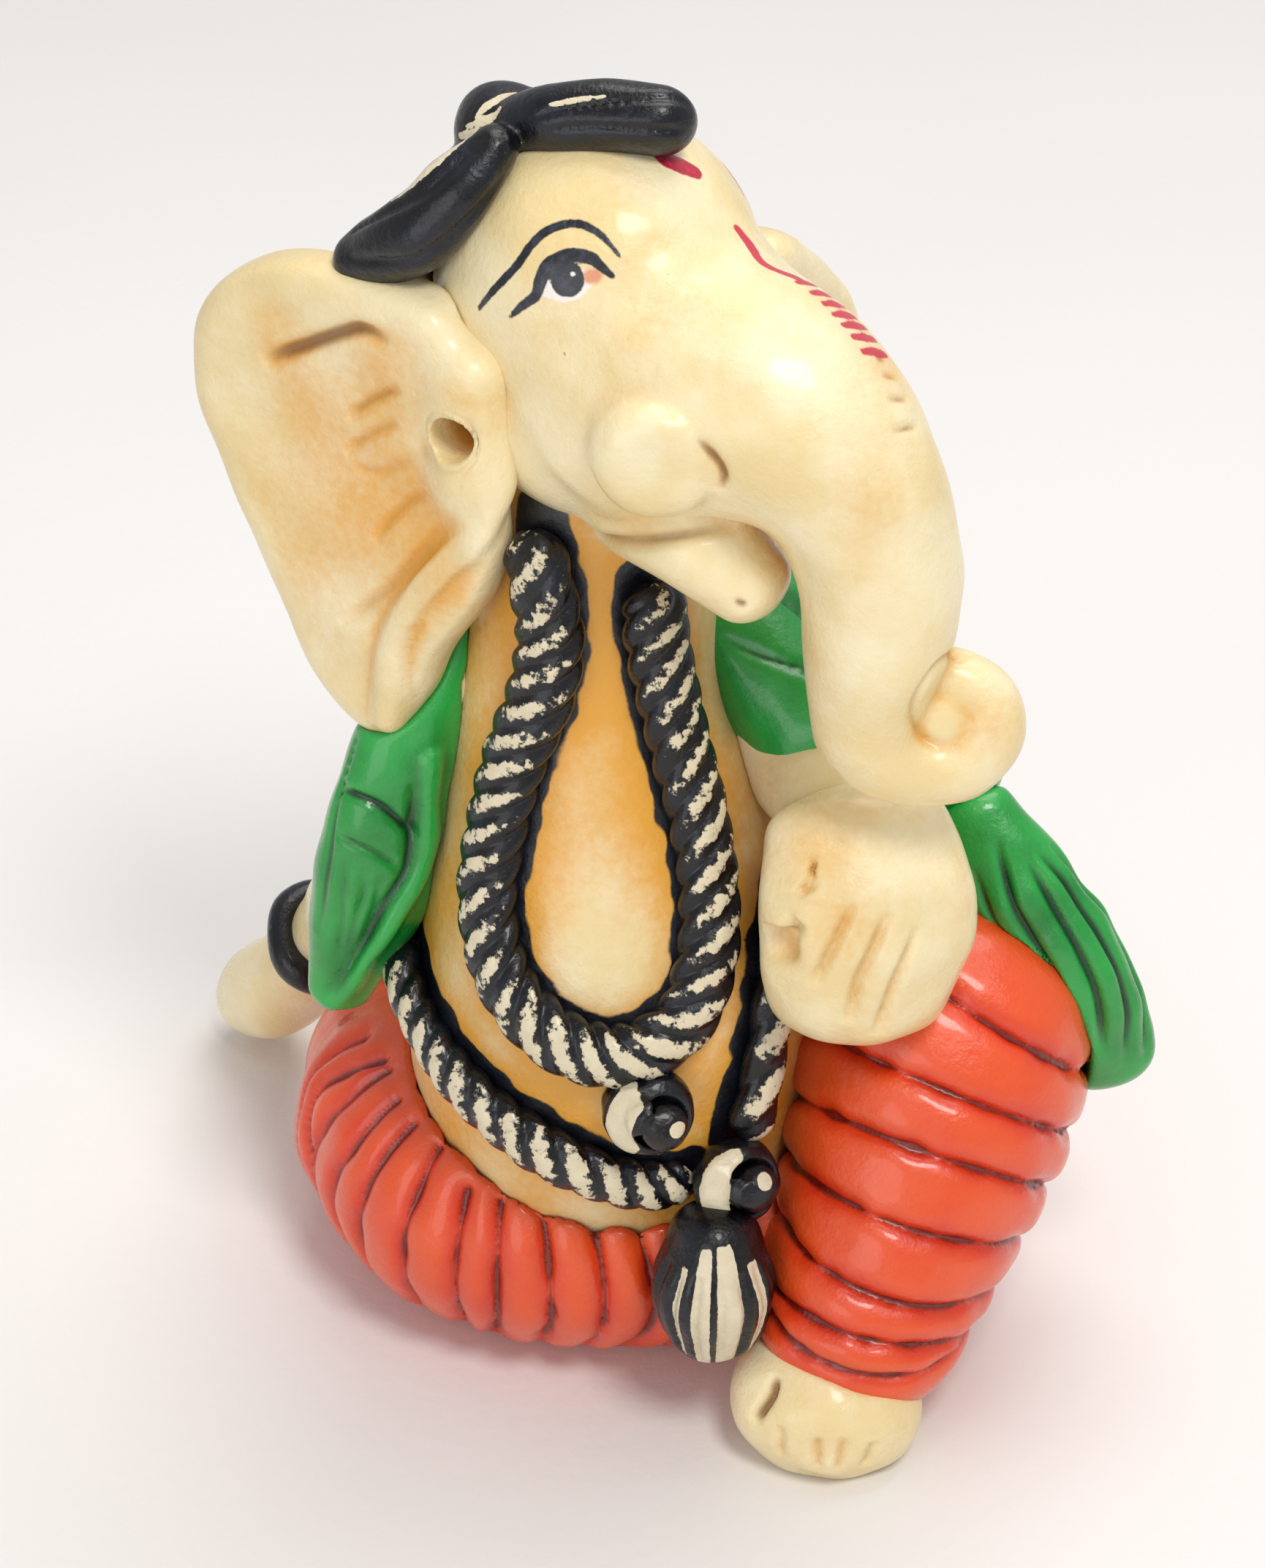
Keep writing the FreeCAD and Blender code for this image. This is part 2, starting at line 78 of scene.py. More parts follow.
# ---------------------------------------------------------------- clay as a block of distances
class Block:
    """A box of voxels round some nodes, holding the signed distance to the clay's surface."""

    def __init__(self, nodes, step, room=3.0):
        boxes = [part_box(n) for n in nodes]
        low = np.min([np.array(b[0]) for b in boxes], axis=0) / MM - room
        high = np.max([np.array(b[1]) for b in boxes], axis=0) / MM + room
        self.step = step * COARSE
        self.start = np.floor(low / self.step).astype(int)
        self.shape = tuple((np.ceil(high / self.step).astype(int) - self.start + 1).tolist())
        self.field = np.full(self.shape, BAND, np.float32)

    def node(self, name):
        """Distances to a CAD node."""
        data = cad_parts[name].data
        points = np.empty(len(data.vertices) * 3, np.float32)
        data.vertices.foreach_get("co", points)
        data.calc_loop_triangles()
        corners = np.empty(len(data.loop_triangles) * 3, np.int32)
        data.loop_triangles.foreach_get("vertices", corners)
        grid = openvdb.FloatGrid.createLevelSetFromPolygons(
            (points.reshape(-1, 3) / MM).astype(np.float32),
            triangles=corners.reshape(-1, 3).astype(np.uint32),
            transform=openvdb.createLinearTransform(voxelSize=self.step),
            halfWidth=BAND / self.step,
        )
        out = np.full(self.shape, BAND, np.float32)
        grid.copyToArray(out, ijk=tuple(self.start.tolist()))
        return out

    def places(self, low, high):
        """The slices and the open grid of points of the part of the block between two corners."""
        a = np.clip(np.floor(np.asarray(low) / self.step).astype(int) - self.start, 0, self.shape)
        b = np.clip(np.ceil(np.asarray(high) / self.step).astype(int) - self.start + 1, 0, self.shape)
        cut = tuple(slice(i, j) for i, j in zip(a, b))
        axes = [(np.arange(i, j) + s) * self.step for i, j, s in zip(a, b, self.start)]
        return cut, np.meshgrid(*axes, indexing="ij", sparse=True)

    def roll(self, points, radii):
        """Distances to a hand-rolled string of clay through points."""
        out = np.full(self.shape, BAND, np.float32)
        for p, q, r, s in zip(points, points[1:], radii, radii[1:]):
            reach = max(r, s) + BAND
            cut, (x, y, z) = self.places(np.minimum(p, q) - reach, np.maximum(p, q) + reach)
            way = np.asarray(q) - p
            t = ((x - p[0]) * way[0] + (y - p[1]) * way[1] + (z - p[2]) * way[2]) / way.dot(way)
            t = np.clip(t, 0, 1)
            near = np.sqrt(
                (x - p[0] - t * way[0]) ** 2 + (y - p[1] - t * way[1]) ** 2 + (z - p[2] - t * way[2]) ** 2
            ) - (r + t * (s - r))
            out[cut] = np.minimum(out[cut], near)
        return out

    def ball(self, at, sizes, across, up):
        """Distances to an egg with half lengths along across, up and their normal."""
        out = np.full(self.shape, BAND, np.float32)
        a, u = unit(across), unit(np.asarray(up) - np.dot(up, unit(across)) * unit(across))
        n = np.cross(a, u)
        reach = max(sizes) + BAND
        cut, (x, y, z) = self.places(np.asarray(at) - reach, np.asarray(at) + reach)
        parts = [
            ((x - at[0]) * w[0] + (y - at[1]) * w[1] + (z - at[2]) * w[2]) / s
            for w, s in zip((a, u, n), sizes)
        ]
        k = np.sqrt(parts[0] ** 2 + parts[1] ** 2 + parts[2] ** 2)
        g = np.sqrt(sum((p / s) ** 2 for p, s in zip(parts, sizes)))
        out[cut] = np.clip(k * (k - 1) / np.maximum(g, 1e-6), -BAND, BAND)
        return out

    def half(self, at, out_way):
        """Distances to everything behind a plane."""
        n = unit(out_way)
        x, y, z = self.places(self.start * self.step, (self.start + self.shape) * self.step)[1]
        return np.clip((x - at[0]) * n[0] + (y - at[1]) * n[1] + (z - at[2]) * n[2], -BAND, BAND)

    def sample(self, field, points):
        """Values of a field between the voxels."""
        p = points / self.step - self.start
        i = np.clip(np.floor(p).astype(int), 0, np.array(self.shape) - 2)
        t = p - i
        total = np.zeros(len(points))
        for dx in (0, 1):
            for dy in (0, 1):
                for dz in (0, 1):
                    share = (
                        (t[:, 0] if dx else 1 - t[:, 0])
                        * (t[:, 1] if dy else 1 - t[:, 1])
                        * (t[:, 2] if dz else 1 - t[:, 2])
                    )
                    total += share * field[i[:, 0] + dx, i[:, 1] + dy, i[:, 2] + dz]
        return total


def soften(field, passes):
    """A small blur that rounds every edge."""
    for _ in range(passes):
        for axis in range(3):
            f = np.moveaxis(field, axis, 0)
            g = f.copy()
            g[1:-1] = 0.5 * f[1:-1] + 0.25 * (f[:-2] + f[2:])
            field = np.moveaxis(g, 0, axis)
    return np.ascontiguousarray(field)


def join(a, b, k):
    """Two lumps pressed together, with a fillet of about k."""
    h = np.maximum(k - np.abs(a - b), 0) / k
    return np.minimum(a, b) - h * h * k * 0.25


def cut_out(a, b, k):
    return -join(-a, b, k)


# ---------------------------------------------------------------- meshes
def shape_of(block):
    """Meshes a block's surface. Returns the points, the quads, the normals and how hollow each place is."""
    grid = openvdb.FloatGrid(BAND)
    grid.transform = openvdb.createLinearTransform(voxelSize=block.step)
    grid.copyFromArray(block.field, ijk=tuple(block.start.tolist()))
    points, quads = grid.convertToQuads()
    points, quads = np.array(points, float), np.array(quads)[:, ::-1]
    a, b, c, d = (points[quads[:, k]] for k in range(4))
    faces = np.cross(c - a, d - b)
    if (faces * (a + b + c + d)).sum() < 0:
        quads, faces = quads[:, ::-1], -faces
    normals = np.zeros_like(points)
    for k in range(4):
        np.add.at(normals, quads[:, k], faces)
    normals /= np.maximum(np.linalg.norm(normals, axis=1, keepdims=True), 1e-9)
    broad = soften(block.field, 10)
    hollow = -block.sample(broad, points)
    return points, quads, normals, hollow


def keep_biggest(points, quads):
    """Drops crumbs that hang loose from the main lump."""
    label = np.arange(len(points))
    while True:
        low = label[quads].min(axis=1)
        new = label.copy()
        for k in range(4):
            np.minimum.at(new, quads[:, k], low)
        new = new[new]
        if (new == label).all():
            break
        label = new
    names, counts = np.unique(label, return_counts=True)
    keep = label == names[counts.argmax()]
    index = np.cumsum(keep) - 1
    return keep, index[quads[keep[quads[:, 0]]]]


def lump_of(block):
    """The main lump in a block, as shape_of gives it."""
    points, quads, normals, hollow = shape_of(block)
    keep, quads = keep_biggest(points, quads)
    return points[keep], quads, normals[keep], hollow[keep]


def mixed(nodes, step, k):
    """A block with nodes pressed together, with fillets of about k."""
    block = Block(nodes, step)
    block.field = block.node(nodes[0])
    for other in nodes[1:]:
        block.field = join(block.field, block.node(other), k)
    return block


def spread(values, count):
    """A few values spread evenly over count places."""
    return np.interp(np.linspace(0, 1, count), np.linspace(0, 1, len(values)), values)


def make(name, points, quads, material, nodes, marks):
    """Puts one finished piece in the scene, on the frame, with nothing pushed through the ground."""
    points = np.maximum(points, (-np.inf, -np.inf, 0.0))
    data = bpy.data.meshes.new(name)
    data.vertices.add(len(points))
    data.vertices.foreach_set("co", (points * MM).astype(np.float32).ravel())
    count = quads.shape[1]
    data.loops.add(quads.size)
    data.loops.foreach_set("vertex_index", quads.astype(np.int32).ravel())
    data.polygons.add(len(quads))
    data.polygons.foreach_set("loop_start", np.arange(0, quads.size, count, dtype=np.int32))
    data.update(calc_edges=True)
    data.validate()
    data.shade_smooth()
    for key, values in marks.items():
        layer = data.attributes.new(key, "FLOAT", "POINT")
        layer.data.foreach_set("value", np.ascontiguousarray(values, dtype=np.float32))
    data.materials.append(material)
    obj = bpy.data.objects.new(name, data)
    bpy.context.scene.collection.objects.link(obj)
    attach(obj, "root")
    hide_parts(*nodes)
    return obj


# ---------------------------------------------------------------- tools: grooves, strokes, unevenness
def along(points, normals, line, reach=2.6):
    """Distance from each point to a line on the surface, measured along the surface, and how far along it."""
    best = np.full(len(points), 99.0)
    where = np.zeros(len(points))
    line = np.asarray(line, float)
    steps = np.linalg.norm(np.diff(line, axis=0), axis=1)
    total, done = steps.sum(), 0.0
    middle, radius = line.mean(axis=0), np.linalg.norm(line - line.mean(axis=0), axis=1).max() + 6.0
    close = np.flatnonzero(np.linalg.norm(points - middle, axis=1) < radius)
    p, n = points[close], normals[close]
    near, place = best[close], where[close]
    for a, b, length in zip(line, line[1:], steps):
        way = b - a
        t = np.clip((p - a) @ way / max(way @ way, 1e-9), 0, 1)
        v = p - a - t[:, None] * way
        deep = (v * n).sum(axis=1)
        flat = np.sqrt(np.maximum((v * v).sum(axis=1) - deep * deep, 0))
        flat = flat + np.maximum(np.abs(deep) - reach, 0) * 3
        here = flat < near
        near = np.where(here, flat, near)
        place = np.where(here, (done + t * length) / total, place)
        done += length
    best[close], where[close] = near, place
    return best, where


def smooth_line(line, count=6):
    """A Catmull-Rom curve through a list of points."""
    line = np.asarray(line, float)
    padded = np.vstack([2 * line[0] - line[1], line, 2 * line[-1] - line[-2]])
    out = []
    for a, b, c, d in zip(padded, padded[1:], padded[2:], padded[3:]):
        for t in np.arange(count) / count:
            square, cube = 2 * a - 5 * b + 4 * c - d, 3 * b - a - 3 * c + d
            out.append(0.5 * (2 * b + (c - a) * t + square * t * t + cube * t**3))
    out.append(line[-1])
    return np.array(out)


def stroke(points, normals, line, widths, reach=2.6):
    """Signed distance to a painted stroke whose half width follows widths."""
    d, t = along(points, normals, smooth_line(line), reach)
    return d - np.interp(t, np.linspace(0, 1, len(widths)), widths)


def groove(points, normals, line, depth, width, fade=0.12, reach=2.6, smooth=True):
    """Depth of a groove pressed along a line, and how dark it is."""
    d, t = along(points, normals, smooth_line(line) if smooth else line, reach)
    ends = np.clip(np.minimum(t, 1 - t) / fade, 0, 1) ** 0.5 if fade else 1.0
    cut = np.exp(-((d / width) ** 2)) * ends
    return -depth * cut, cut


def lumps(points, size, seed, count=14):
    """Gentle unevenness of hand-shaped clay, about -1 to 1, with bumps of about this size."""
    r = np.random.default_rng(seed)
    total = np.zeros(len(points))
    for _ in range(count):
        way = r.normal(size=3)
        way *= 2 * math.pi / size / np.linalg.norm(way) * r.uniform(0.6, 1.5)
        total += np.sin(points @ way + r.uniform(0, 6.28))
    return total / math.sqrt(count)


def step_up(x, low, high):
    t = np.clip((x - low) / (high - low), 0, 1)
    return t * t * (3 - 2 * t)


def blob(points, at, size):
    return np.exp(-(((points - at) ** 2).sum(axis=1)) / size**2)


# ---------------------------------------------------------------- paints
class Paint:
    """A painted and varnished clay finish, built from noise in object space and marks stored on the mesh."""

    def __init__(self, name):
        self.material = bpy.data.materials.new(name)
        self.material.use_nodes = True
        self.tree = self.material.node_tree
        self.shader = self.tree.nodes["Principled BSDF"]
        coords = self.tree.nodes.new("ShaderNodeTexCoord")
        scale = self.tree.nodes.new("ShaderNodeVectorMath")
        scale.operation = "SCALE"
        scale.inputs["Scale"].default_value = 1 / MM
        self.tree.links.new(coords.outputs["Object"], scale.inputs[0])
        self.place = scale.outputs[0]

    def put(self, socket, value):
        if hasattr(value, "is_linked") or hasattr(value, "links"):
            self.tree.links.new(value, socket)
        elif isinstance(value, tuple):
            socket.default_value = (*value, 1.0) if len(value) == 3 and socket.type == "RGBA" else value
        else:
            socket.default_value = value

    def mark(self, name):
        node = self.tree.nodes.new("ShaderNodeAttribute")
        node.attribute_name = name
        return node.outputs["Fac"]

    def noise(self, per_mm, detail=3.0, rough=0.55):
        node = self.tree.nodes.new("ShaderNodeTexNoise")
        node.inputs["Scale"].default_value = per_mm
        node.inputs["Detail"].default_value = detail
        node.inputs["Roughness"].default_value = rough
        self.tree.links.new(self.place, node.inputs["Vector"])
        return node.outputs["Fac"]

    def sums(self, kind, a, b=0.0):
        node = self.tree.nodes.new("ShaderNodeMath")
        node.operation = kind
        self.put(node.inputs[0], a)
        self.put(node.inputs[1], b)
        return node.outputs[0]

    def rise(self, value, low, high, to_low=0.0, to_high=1.0):
        """A smooth step: to_low under low, to_high over high."""
        node = self.tree.nodes.new("ShaderNodeMapRange")
        node.interpolation_type = "SMOOTHSTEP"
        self.put(node.inputs["Value"], value)
        for key, number in (("From Min", low), ("From Max", high), ("To Min", to_low), ("To Max", to_high)):
            node.inputs[key].default_value = number
        return node.outputs["Result"]

    def mix(self, share, a, b):
        node = self.tree.nodes.new("ShaderNodeMix")
        node.data_type = "RGBA"
        self.put(node.inputs["Factor"], share)
        colours = [s for s in node.inputs if s.type == "RGBA"]
        self.put(colours[0], a)
        self.put(colours[1], b)
        return [s for s in node.outputs if s.type == "RGBA"][0]

    def finish(self, colour, rough, bump, bump_mm=0.05, coat=0.3, coat_rough=0.14, specular=0.5):
        self.put(self.shader.inputs["Base Color"], colour)
        self.put(self.shader.inputs["Roughness"], rough)
        self.shader.inputs["Coat Weight"].default_value = coat
        self.shader.inputs["Coat Roughness"].default_value = coat_rough
        self.shader.inputs["Specular IOR Level"].default_value = specular
        self.shader.inputs["IOR"].default_value = 1.5
        node = self.tree.nodes.new("ShaderNodeBump")
        node.inputs["Distance"].default_value = bump_mm * MM
        node.inputs["Strength"].default_value = 1.0
        self.put(node.inputs["Height"], bump)
        self.tree.links.new(node.outputs[0], self.shader.inputs["Normal"])
        return self.material


def colour(r, g, b):
    """A paint colour given as it looks, 0 to 255, turned into the linear light the shader wants."""
    return tuple(((c / 255 + 0.055) / 1.055) ** 2.4 if c > 10 else c / 255 / 12.92 for c in (r, g, b))


IVORY, PALE, OCHRE = colour(234, 210, 152), colour(243, 228, 186), colour(228, 162, 52)
SHADE_BROWN, INK, CRIMSON = colour(128, 84, 34), colour(16, 18, 26), colour(186, 20, 50)


def skin_paint(name):
    """Ivory with ochre paint in places, ochre as painted shade in the hollows, and brown painted shade in the
    creases.
    """
    p = Paint(name)
    broad, fine = p.noise(0.16, 4.0), p.noise(1.7, 4.0, 0.6)
    base = p.mix(p.rise(broad, 0.35, 0.68), IVORY, PALE)
    # The ochre mark: ochre paint in places and painted shade in the hollows.
    ochre_and_shade = p.sums("ADD", p.mark("ochre_and_shade"), p.sums("MULTIPLY", p.sums("SUBTRACT", fine, 0.5), 0.5))
    base = p.mix(p.rise(ochre_and_shade, 0.05, 1.0), base, OCHRE)
    # Brown painted shade along the creases.
    base = p.mix(p.rise(p.mark("crease_shade"), 0.25, 1.15, 0.0, 0.85), base, SHADE_BROWN)
    base = p.mix(p.rise(p.noise(0.9, 5.0, 0.7), 0.70, 0.80, 0.0, 0.30), base, OCHRE)
    return p, base


def finish_skin(p, base):
    rough = p.rise(p.noise(0.5, 4.0), 0.3, 0.7, 0.26, 0.42)
    bump = p.sums("ADD", p.noise(2.6, 5.0, 0.65), p.sums("MULTIPLY", p.noise(0.5, 3.0), 1.6))
    return p.finish(base, rough, bump, 0.07, coat=0.35, coat_rough=0.16)


def face_skin():
    """Skin with the painted eyes, brows, forehead marks and the black edge beside the ropes."""
    p, base = skin_paint("face_paint")
    ragged = p.sums("MULTIPLY", p.sums("SUBTRACT", p.noise(2.4, 3.0), 0.5), 0.16)

    def laid(base, mark, paint, edge=0.05):
        d = p.sums("ADD", p.mark(mark), ragged)
        return p.mix(p.rise(d, -edge, edge, 1.0, 0.0), base, paint)

    base = laid(base, "eye_white", colour(240, 232, 222))
    base = laid(base, "eye_pink", colour(222, 150, 110), 0.16)
    base = laid(base, "red_line", colour(204, 52, 66), 0.08)
    base = laid(base, "tilak", p.mix(p.rise(p.noise(1.2, 2.0), 0.4, 0.6), CRIMSON, colour(210, 60, 90)), 0.07)
    base = laid(base, "ink", p.mix(p.rise(p.noise(1.4, 2.0), 0.45, 0.65), INK, colour(44, 46, 60)), 0.06)
    base = laid(base, "rope_edge", INK, 0.10)
    base = laid(base, "glint", colour(235, 232, 225), 0.05)
    return finish_skin(p, base)


def cloth_paint(name, dark, mid, light, deep):
    """Glossy paint over pleated clay, with painted light on the folds and painted shade in the hollows and
    creases.
    """
    p = Paint(name)
    broad, fine = p.noise(0.22, 4.0), p.noise(2.2, 4.0, 0.6)
    # Lit, middle and shaded copies of the paint, picked by hollowness and broad noise: painted light and
    # shade.
    shade_and_tone = p.sums("ADD", p.mark("hollow"), p.sums("MULTIPLY", p.sums("SUBTRACT", broad, 0.5), 0.9))
    base = p.mix(p.rise(shade_and_tone, -0.35, 0.35), light, mid)
    base = p.mix(p.rise(shade_and_tone, 0.15, 0.75), base, dark)
    base = p.mix(p.rise(fine, 0.56, 0.74, 0.0, 0.30), base, light)
    # Painted shade in the creases.
    base = p.mix(p.rise(p.mark("crease_shade"), 0.30, 0.95, 0.0, 0.92), base, deep)
    rough = p.rise(p.noise(0.6, 4.0), 0.3, 0.7, 0.20, 0.36)
    bump = p.sums("ADD", p.noise(3.0, 5.0, 0.65), p.sums("MULTIPLY", p.noise(0.7, 3.0), 1.5))
    return p.finish(base, rough, bump, 0.06, coat=0.4, coat_rough=0.12)


def black_paint(name, brush_low=0.62, brush_high=0.80):
    """Glossy black with a painted bluish sheen in patches, and cream dragged over the high places by a nearly
    dry brush.
    """
    p = Paint(name)
    # Patches of a lighter bluish black, spread by noise, are a painted sheen.
    base = p.mix(p.rise(p.noise(0.35, 4.0), 0.40, 0.66), colour(7, 7, 9), colour(18, 21, 31))
    patchy = p.sums("MULTIPLY", p.sums("SUBTRACT", p.noise(1.5, 4.0, 0.65), 0.5), 1.1)
    lift = p.sums("ADD", p.mark("ridge"), patchy)
    cream = p.mix(p.noise(1.1), colour(232, 220, 190), colour(206, 192, 160))
    base = p.mix(p.rise(lift, brush_low, brush_high), base, cream)
    rough = p.rise(p.noise(0.8, 4.0), 0.3, 0.7, 0.16, 0.34)
    bump = p.sums("ADD", p.noise(2.4, 5.0, 0.6), p.sums("MULTIPLY", p.noise(0.8, 3.0), 1.2))
    return p.finish(base, rough, bump, 0.09, coat=0.22, coat_rough=0.10, specular=0.38)


SKIN = finish_skin(*skin_paint("skin_paint"))
FACE = face_skin()
# Each cloth: shaded, middle and lit copies of its paint, and a deep painted shade for the creases.
ORANGE = cloth_paint(
    "dhoti_paint", colour(186, 38, 16), colour(216, 56, 18), colour(230, 84, 32), colour(112, 20, 8)
)
GREEN = cloth_paint(
    "shawl_paint", colour(0, 52, 20), colour(6, 108, 36), colour(36, 162, 66), colour(0, 30, 12)
)
HAIR = black_paint("hair_paint", 0.86, 1.0)
ROPE = black_paint("rope_paint", 0.84, 0.95)
STUD = black_paint("stud_paint")


def marks_for(points, normals, hollow, crease_shade=None, ochre_and_shade=0.0):
    """The marks a paint reads: painted shade in the creases, how hollow each place is, and ochre with painted
    shade.
    """
    crease_shade = np.zeros(len(points)) if crease_shade is None else crease_shade
    # Ochre where the caller asks, and more ochre as painted shade in the hollows and the creases.
    ochre_and_shade_total = np.clip(hollow * 2.6, -0.6, 1.0) + ochre_and_shade + 0.18 * lumps(points, 9.0, 5) + 0.5 * crease_shade
    # Hollowness as a mark: the cloth paint turns it into painted light and shade.
    return {"crease_shade": crease_shade, "hollow": np.clip(hollow * 3.0, -1, 1), "ochre_and_shade": ochre_and_shade_total}


# ---------------------------------------------------------------- head, trunk, lip and tusks
FACE_NODES = ["head", "trunk", "lower_lip", "right_tusk", "left_tusk"]
block = Block(FACE_NODES, 0.21)
block.field = join(block.node("head"), block.node("trunk"), 2.6)
TUSKS = {  # which way each stub points, and its middle from the centre of its node's box
    "right": ((-0.305, -0.956, -0.05), (0.34, 0.73, 1.16)),
    "left": ((1.0, -0.005, -0.05), (-0.8, -0.1, 1.16)),
}
for side, (way, shift) in TUSKS.items():
    way, middle = unit(way), off(f"{side}_tusk", shift)[0]
    lump = block.roll([middle - way * 2.2, middle - way * 0.6, middle + way * 0.3], [3.2, 3.7, 3.6])
    lump = cut_out(lump, -block.half(middle + way * 2.35, way), 0.9)
    block.field = join(block.field, lump, 0.55)
block.field = join(block.field, block.node("lower_lip"), 0.5)
block.field = soften(block.field, 2)
points, quads, normals, hollow = lump_of(block)

BROW = off("head", (-8.1, -3.9, 3.3), (-7.2, -4.7, 4.9), (-6.2, -5.2, 6.3), (-5.4, -5.2, 7.4),
           (-4.5, -5.2, 8.2), (-3.5, -5.5, 8.7), (-2.7, -5.9, 8.8), (-1.9, -6.5, 8.5),
           (-1.3, -7.0, 7.9), (-0.9, -7.4, 7.4))
LID = off("head", (-6.7, -5.7, 3.5), (-6.1, -6.1, 4.3), (-5.4, -6.5, 5.1), (-5.1, -6.4, 5.8),
          (-4.7, -6.3, 6.6), (-4.0, -6.5, 7.2), (-3.2, -6.7, 7.4), (-2.4, -7.1, 7.3),
          (-1.8, -7.5, 6.8), (-1.4, -7.8, 6.5))
SPECKS = ((-3.9, -8.0, 2.2), (-5.4, -6.9, 0.8), (1.5, -9.4, 7.6))
IRIS = off("head", (-3.8, -7.2, 6.2))[0]
WHITE = off("head", (-5.0, -6.8, 5.5), (-4.2, -7.1, 5.7), (-3.3, -7.4, 6.1), (-2.6, -7.6, 6.5))
TILAK = off("head", (2.1, -2.7, 11.2), (2.7, -3.0, 10.8), (3.5, -3.1, 10.4), (4.2, -3.1, 10.0))
RED_LINE = off("head", (6.1, -4.9, 7.0), (6.6, -5.6, 6.2), (7.1, -7.0, 5.8), (8.1, -7.5, 5.5),
               (9.0, -7.6, 5.1))
DASHES = off("trunk", (2.2, 1.6, 13.8), (2.9, 0.9, 13.5), (3.4, 0.2, 13.1), (3.8, -0.5, 12.7),
             (4.2, -1.1, 12.3), (4.6, -1.7, 11.8), (5.0, -2.4, 11.2))


def mirrored(line):
    """The same line on the other side of the head."""
    left = unit((0.809, 0.588, 0))
    middle = centre("hair_cap")
    rows = np.asarray(line, float) - middle
    return np.asarray(line, float) - 2 * np.outer(rows @ left, left)


ink = np.full(len(points), FAR)
for flip in (False, True):
    change = mirrored if flip else (lambda line: np.asarray(line, float))
    ink = np.minimum(ink, stroke(points, normals, change(BROW), (0.14, 0.24, 0.26, 0.27, 0.26, 0.22, 0.10)))
    ink = np.minimum(ink, stroke(points, normals, change(LID), (0.12, 0.26, 0.36, 0.42, 0.40, 0.34, 0.16)))
    spot = change([IRIS, IRIS + (0, 0, 0.1)])
    ink = np.minimum(ink, along(points, normals, spot)[0] - 0.95)
    white = stroke(points, normals, change(WHITE), (0.35, 0.85, 0.85, 0.4))
    pink = along(points, normals, change([WHITE[-1], WHITE[-1] + (0.2, -0.2, 0.1)]))[0] - 0.42
    glint = along(points, normals, change([IRIS + (0.3, 0, 0.35), IRIS + (0.35, 0, 0.35)]))[0] - 0.13
    both = (white, pink, glint) if not flip else tuple(map(np.minimum, both, (white, pink, glint)))
white, pink, glint = both
for spot in SPECKS:
    spot = off("head", spot)[0]
    ink = np.minimum(ink, along(points, normals, [spot, spot + (0.12, 0, 0.12)])[0] - 0.07)
tilak = stroke(points, normals, TILAK, (0.35, 0.62, 0.66, 0.55))
red = stroke(points, normals, RED_LINE, (0.30, 0.42, 0.34, 0.30, 0.40))
crease_shade = np.zeros(len(points))
for i, spot in enumerate(DASHES):
    lean = unit((0.74, 0.57, -0.37)) * (0.95 + 0.05 * i)
    red = np.minimum(red, stroke(points, normals, [spot - lean, spot + lean], (0.22, 0.34, 0.24)))
push = np.zeros(len(points))
CREASES = [
    ((4.9, -3.0, 11.1), (6.6, -2.0, 11.0)),
    ((5.0, -4.0, 10.6), (7.4, -2.9, 10.2)),
    ((5.0, -5.3, 9.8), (7.6, -4.0, 9.3)),
    ((5.2, -6.6, 8.6), (7.8, -5.2, 8.2)),
]
# Trunk creases, pressed in, with painted shade along them.
for ends in CREASES:
    down, dark = groove(points, normals, off("trunk", *ends), 0.22, 0.26, fade=0.4, smooth=False)
    push += down
    crease_shade = np.maximum(crease_shade, 0.8 * dark)
TUSK_CREASE = off("head", (1.9, -14.0, -0.4), (2.6, -14.5, -1.2), (3.1, -14.8, -2.0), (3.3, -14.8, -2.8),
                  (3.2, -14.4, -3.8))
MOUTH = off("head", (-6.6, -2.6, -10.9), (-4.5, -4.9, -11.0), (-2.1, -7.4, -10.2), (0.0, -10.3, -8.8),
            (2.6, -11.6, -7.9), (5.0, -11.2, -7.9))
PIT = off("lower_lip", (1.9, -4.4, -1.1), (2.1, -4.5, -1.2))
SPIRAL = off("trunk", (10.1, -6.3, -6.3), (7.8, -9.0, -5.0), (6.4, -9.8, -6.0), (6.1, -9.5, -7.9),
             (6.9, -8.4, -10.1), (8.1, -8.9, -10.8))
FACE_GROOVES = [  # line, depth, half width, darkness of its painted shade, and how it is pressed
    (TUSK_CREASE, 0.35, 0.32, 1.1, {"fade": 0.3}),
    (MOUTH, 0.65, 0.42, 0.75, {"fade": 0.2, "reach": 3.2}),
    (PIT, 0.3, 0.32, 1.0, {"fade": 0, "smooth": False}),
    (SPIRAL, 0.3, 0.35, 0.55, {"fade": 0.1}),
]
# Each groove is pressed in and gets painted shade along it.
for line, depth, width, shade, manner in FACE_GROOVES:
    down, dark = groove(points, normals, line, depth, width, **manner)
    push += down
    crease_shade = np.maximum(crease_shade, shade * dark)
points = points + normals * (push + 0.06 * lumps(points, 5.0, 21))[:, None]
WASHED = [  # where the ochre is thick: a node, a place from its centre, how strong and how wide
    ("head", (-1.5, -5.0, 9.5), 0.30, 6.0),
    ("head", (1.5, -9.0, 6.0), 0.35, 4.0),
    ("trunk", (5.0, -3.0, 9.5), 0.45, 4.5),
    ("trunk", (4.5, -6.5, 0.0), 0.35, 5.0),
    ("trunk", (9.0, -8.5, -8.5), 0.4, 4.0),
    ("lower_lip", (0.0, 0.0, 0.0), 0.5, 4.0),
]
ochre_and_shade = sum(share * blob(points, off(node, place)[0], size) for node, place, share, size in WASHED)
marks = marks_for(points, normals, hollow, crease_shade, ochre_and_shade - 0.05)
marks.update(ink=ink, eye_white=white, eye_pink=pink, glint=glint, tilak=tilak, red_line=red)
marks["rope_edge"] = np.full(len(points), FAR)
make("face", points, quads, FACE, FACE_NODES, marks)


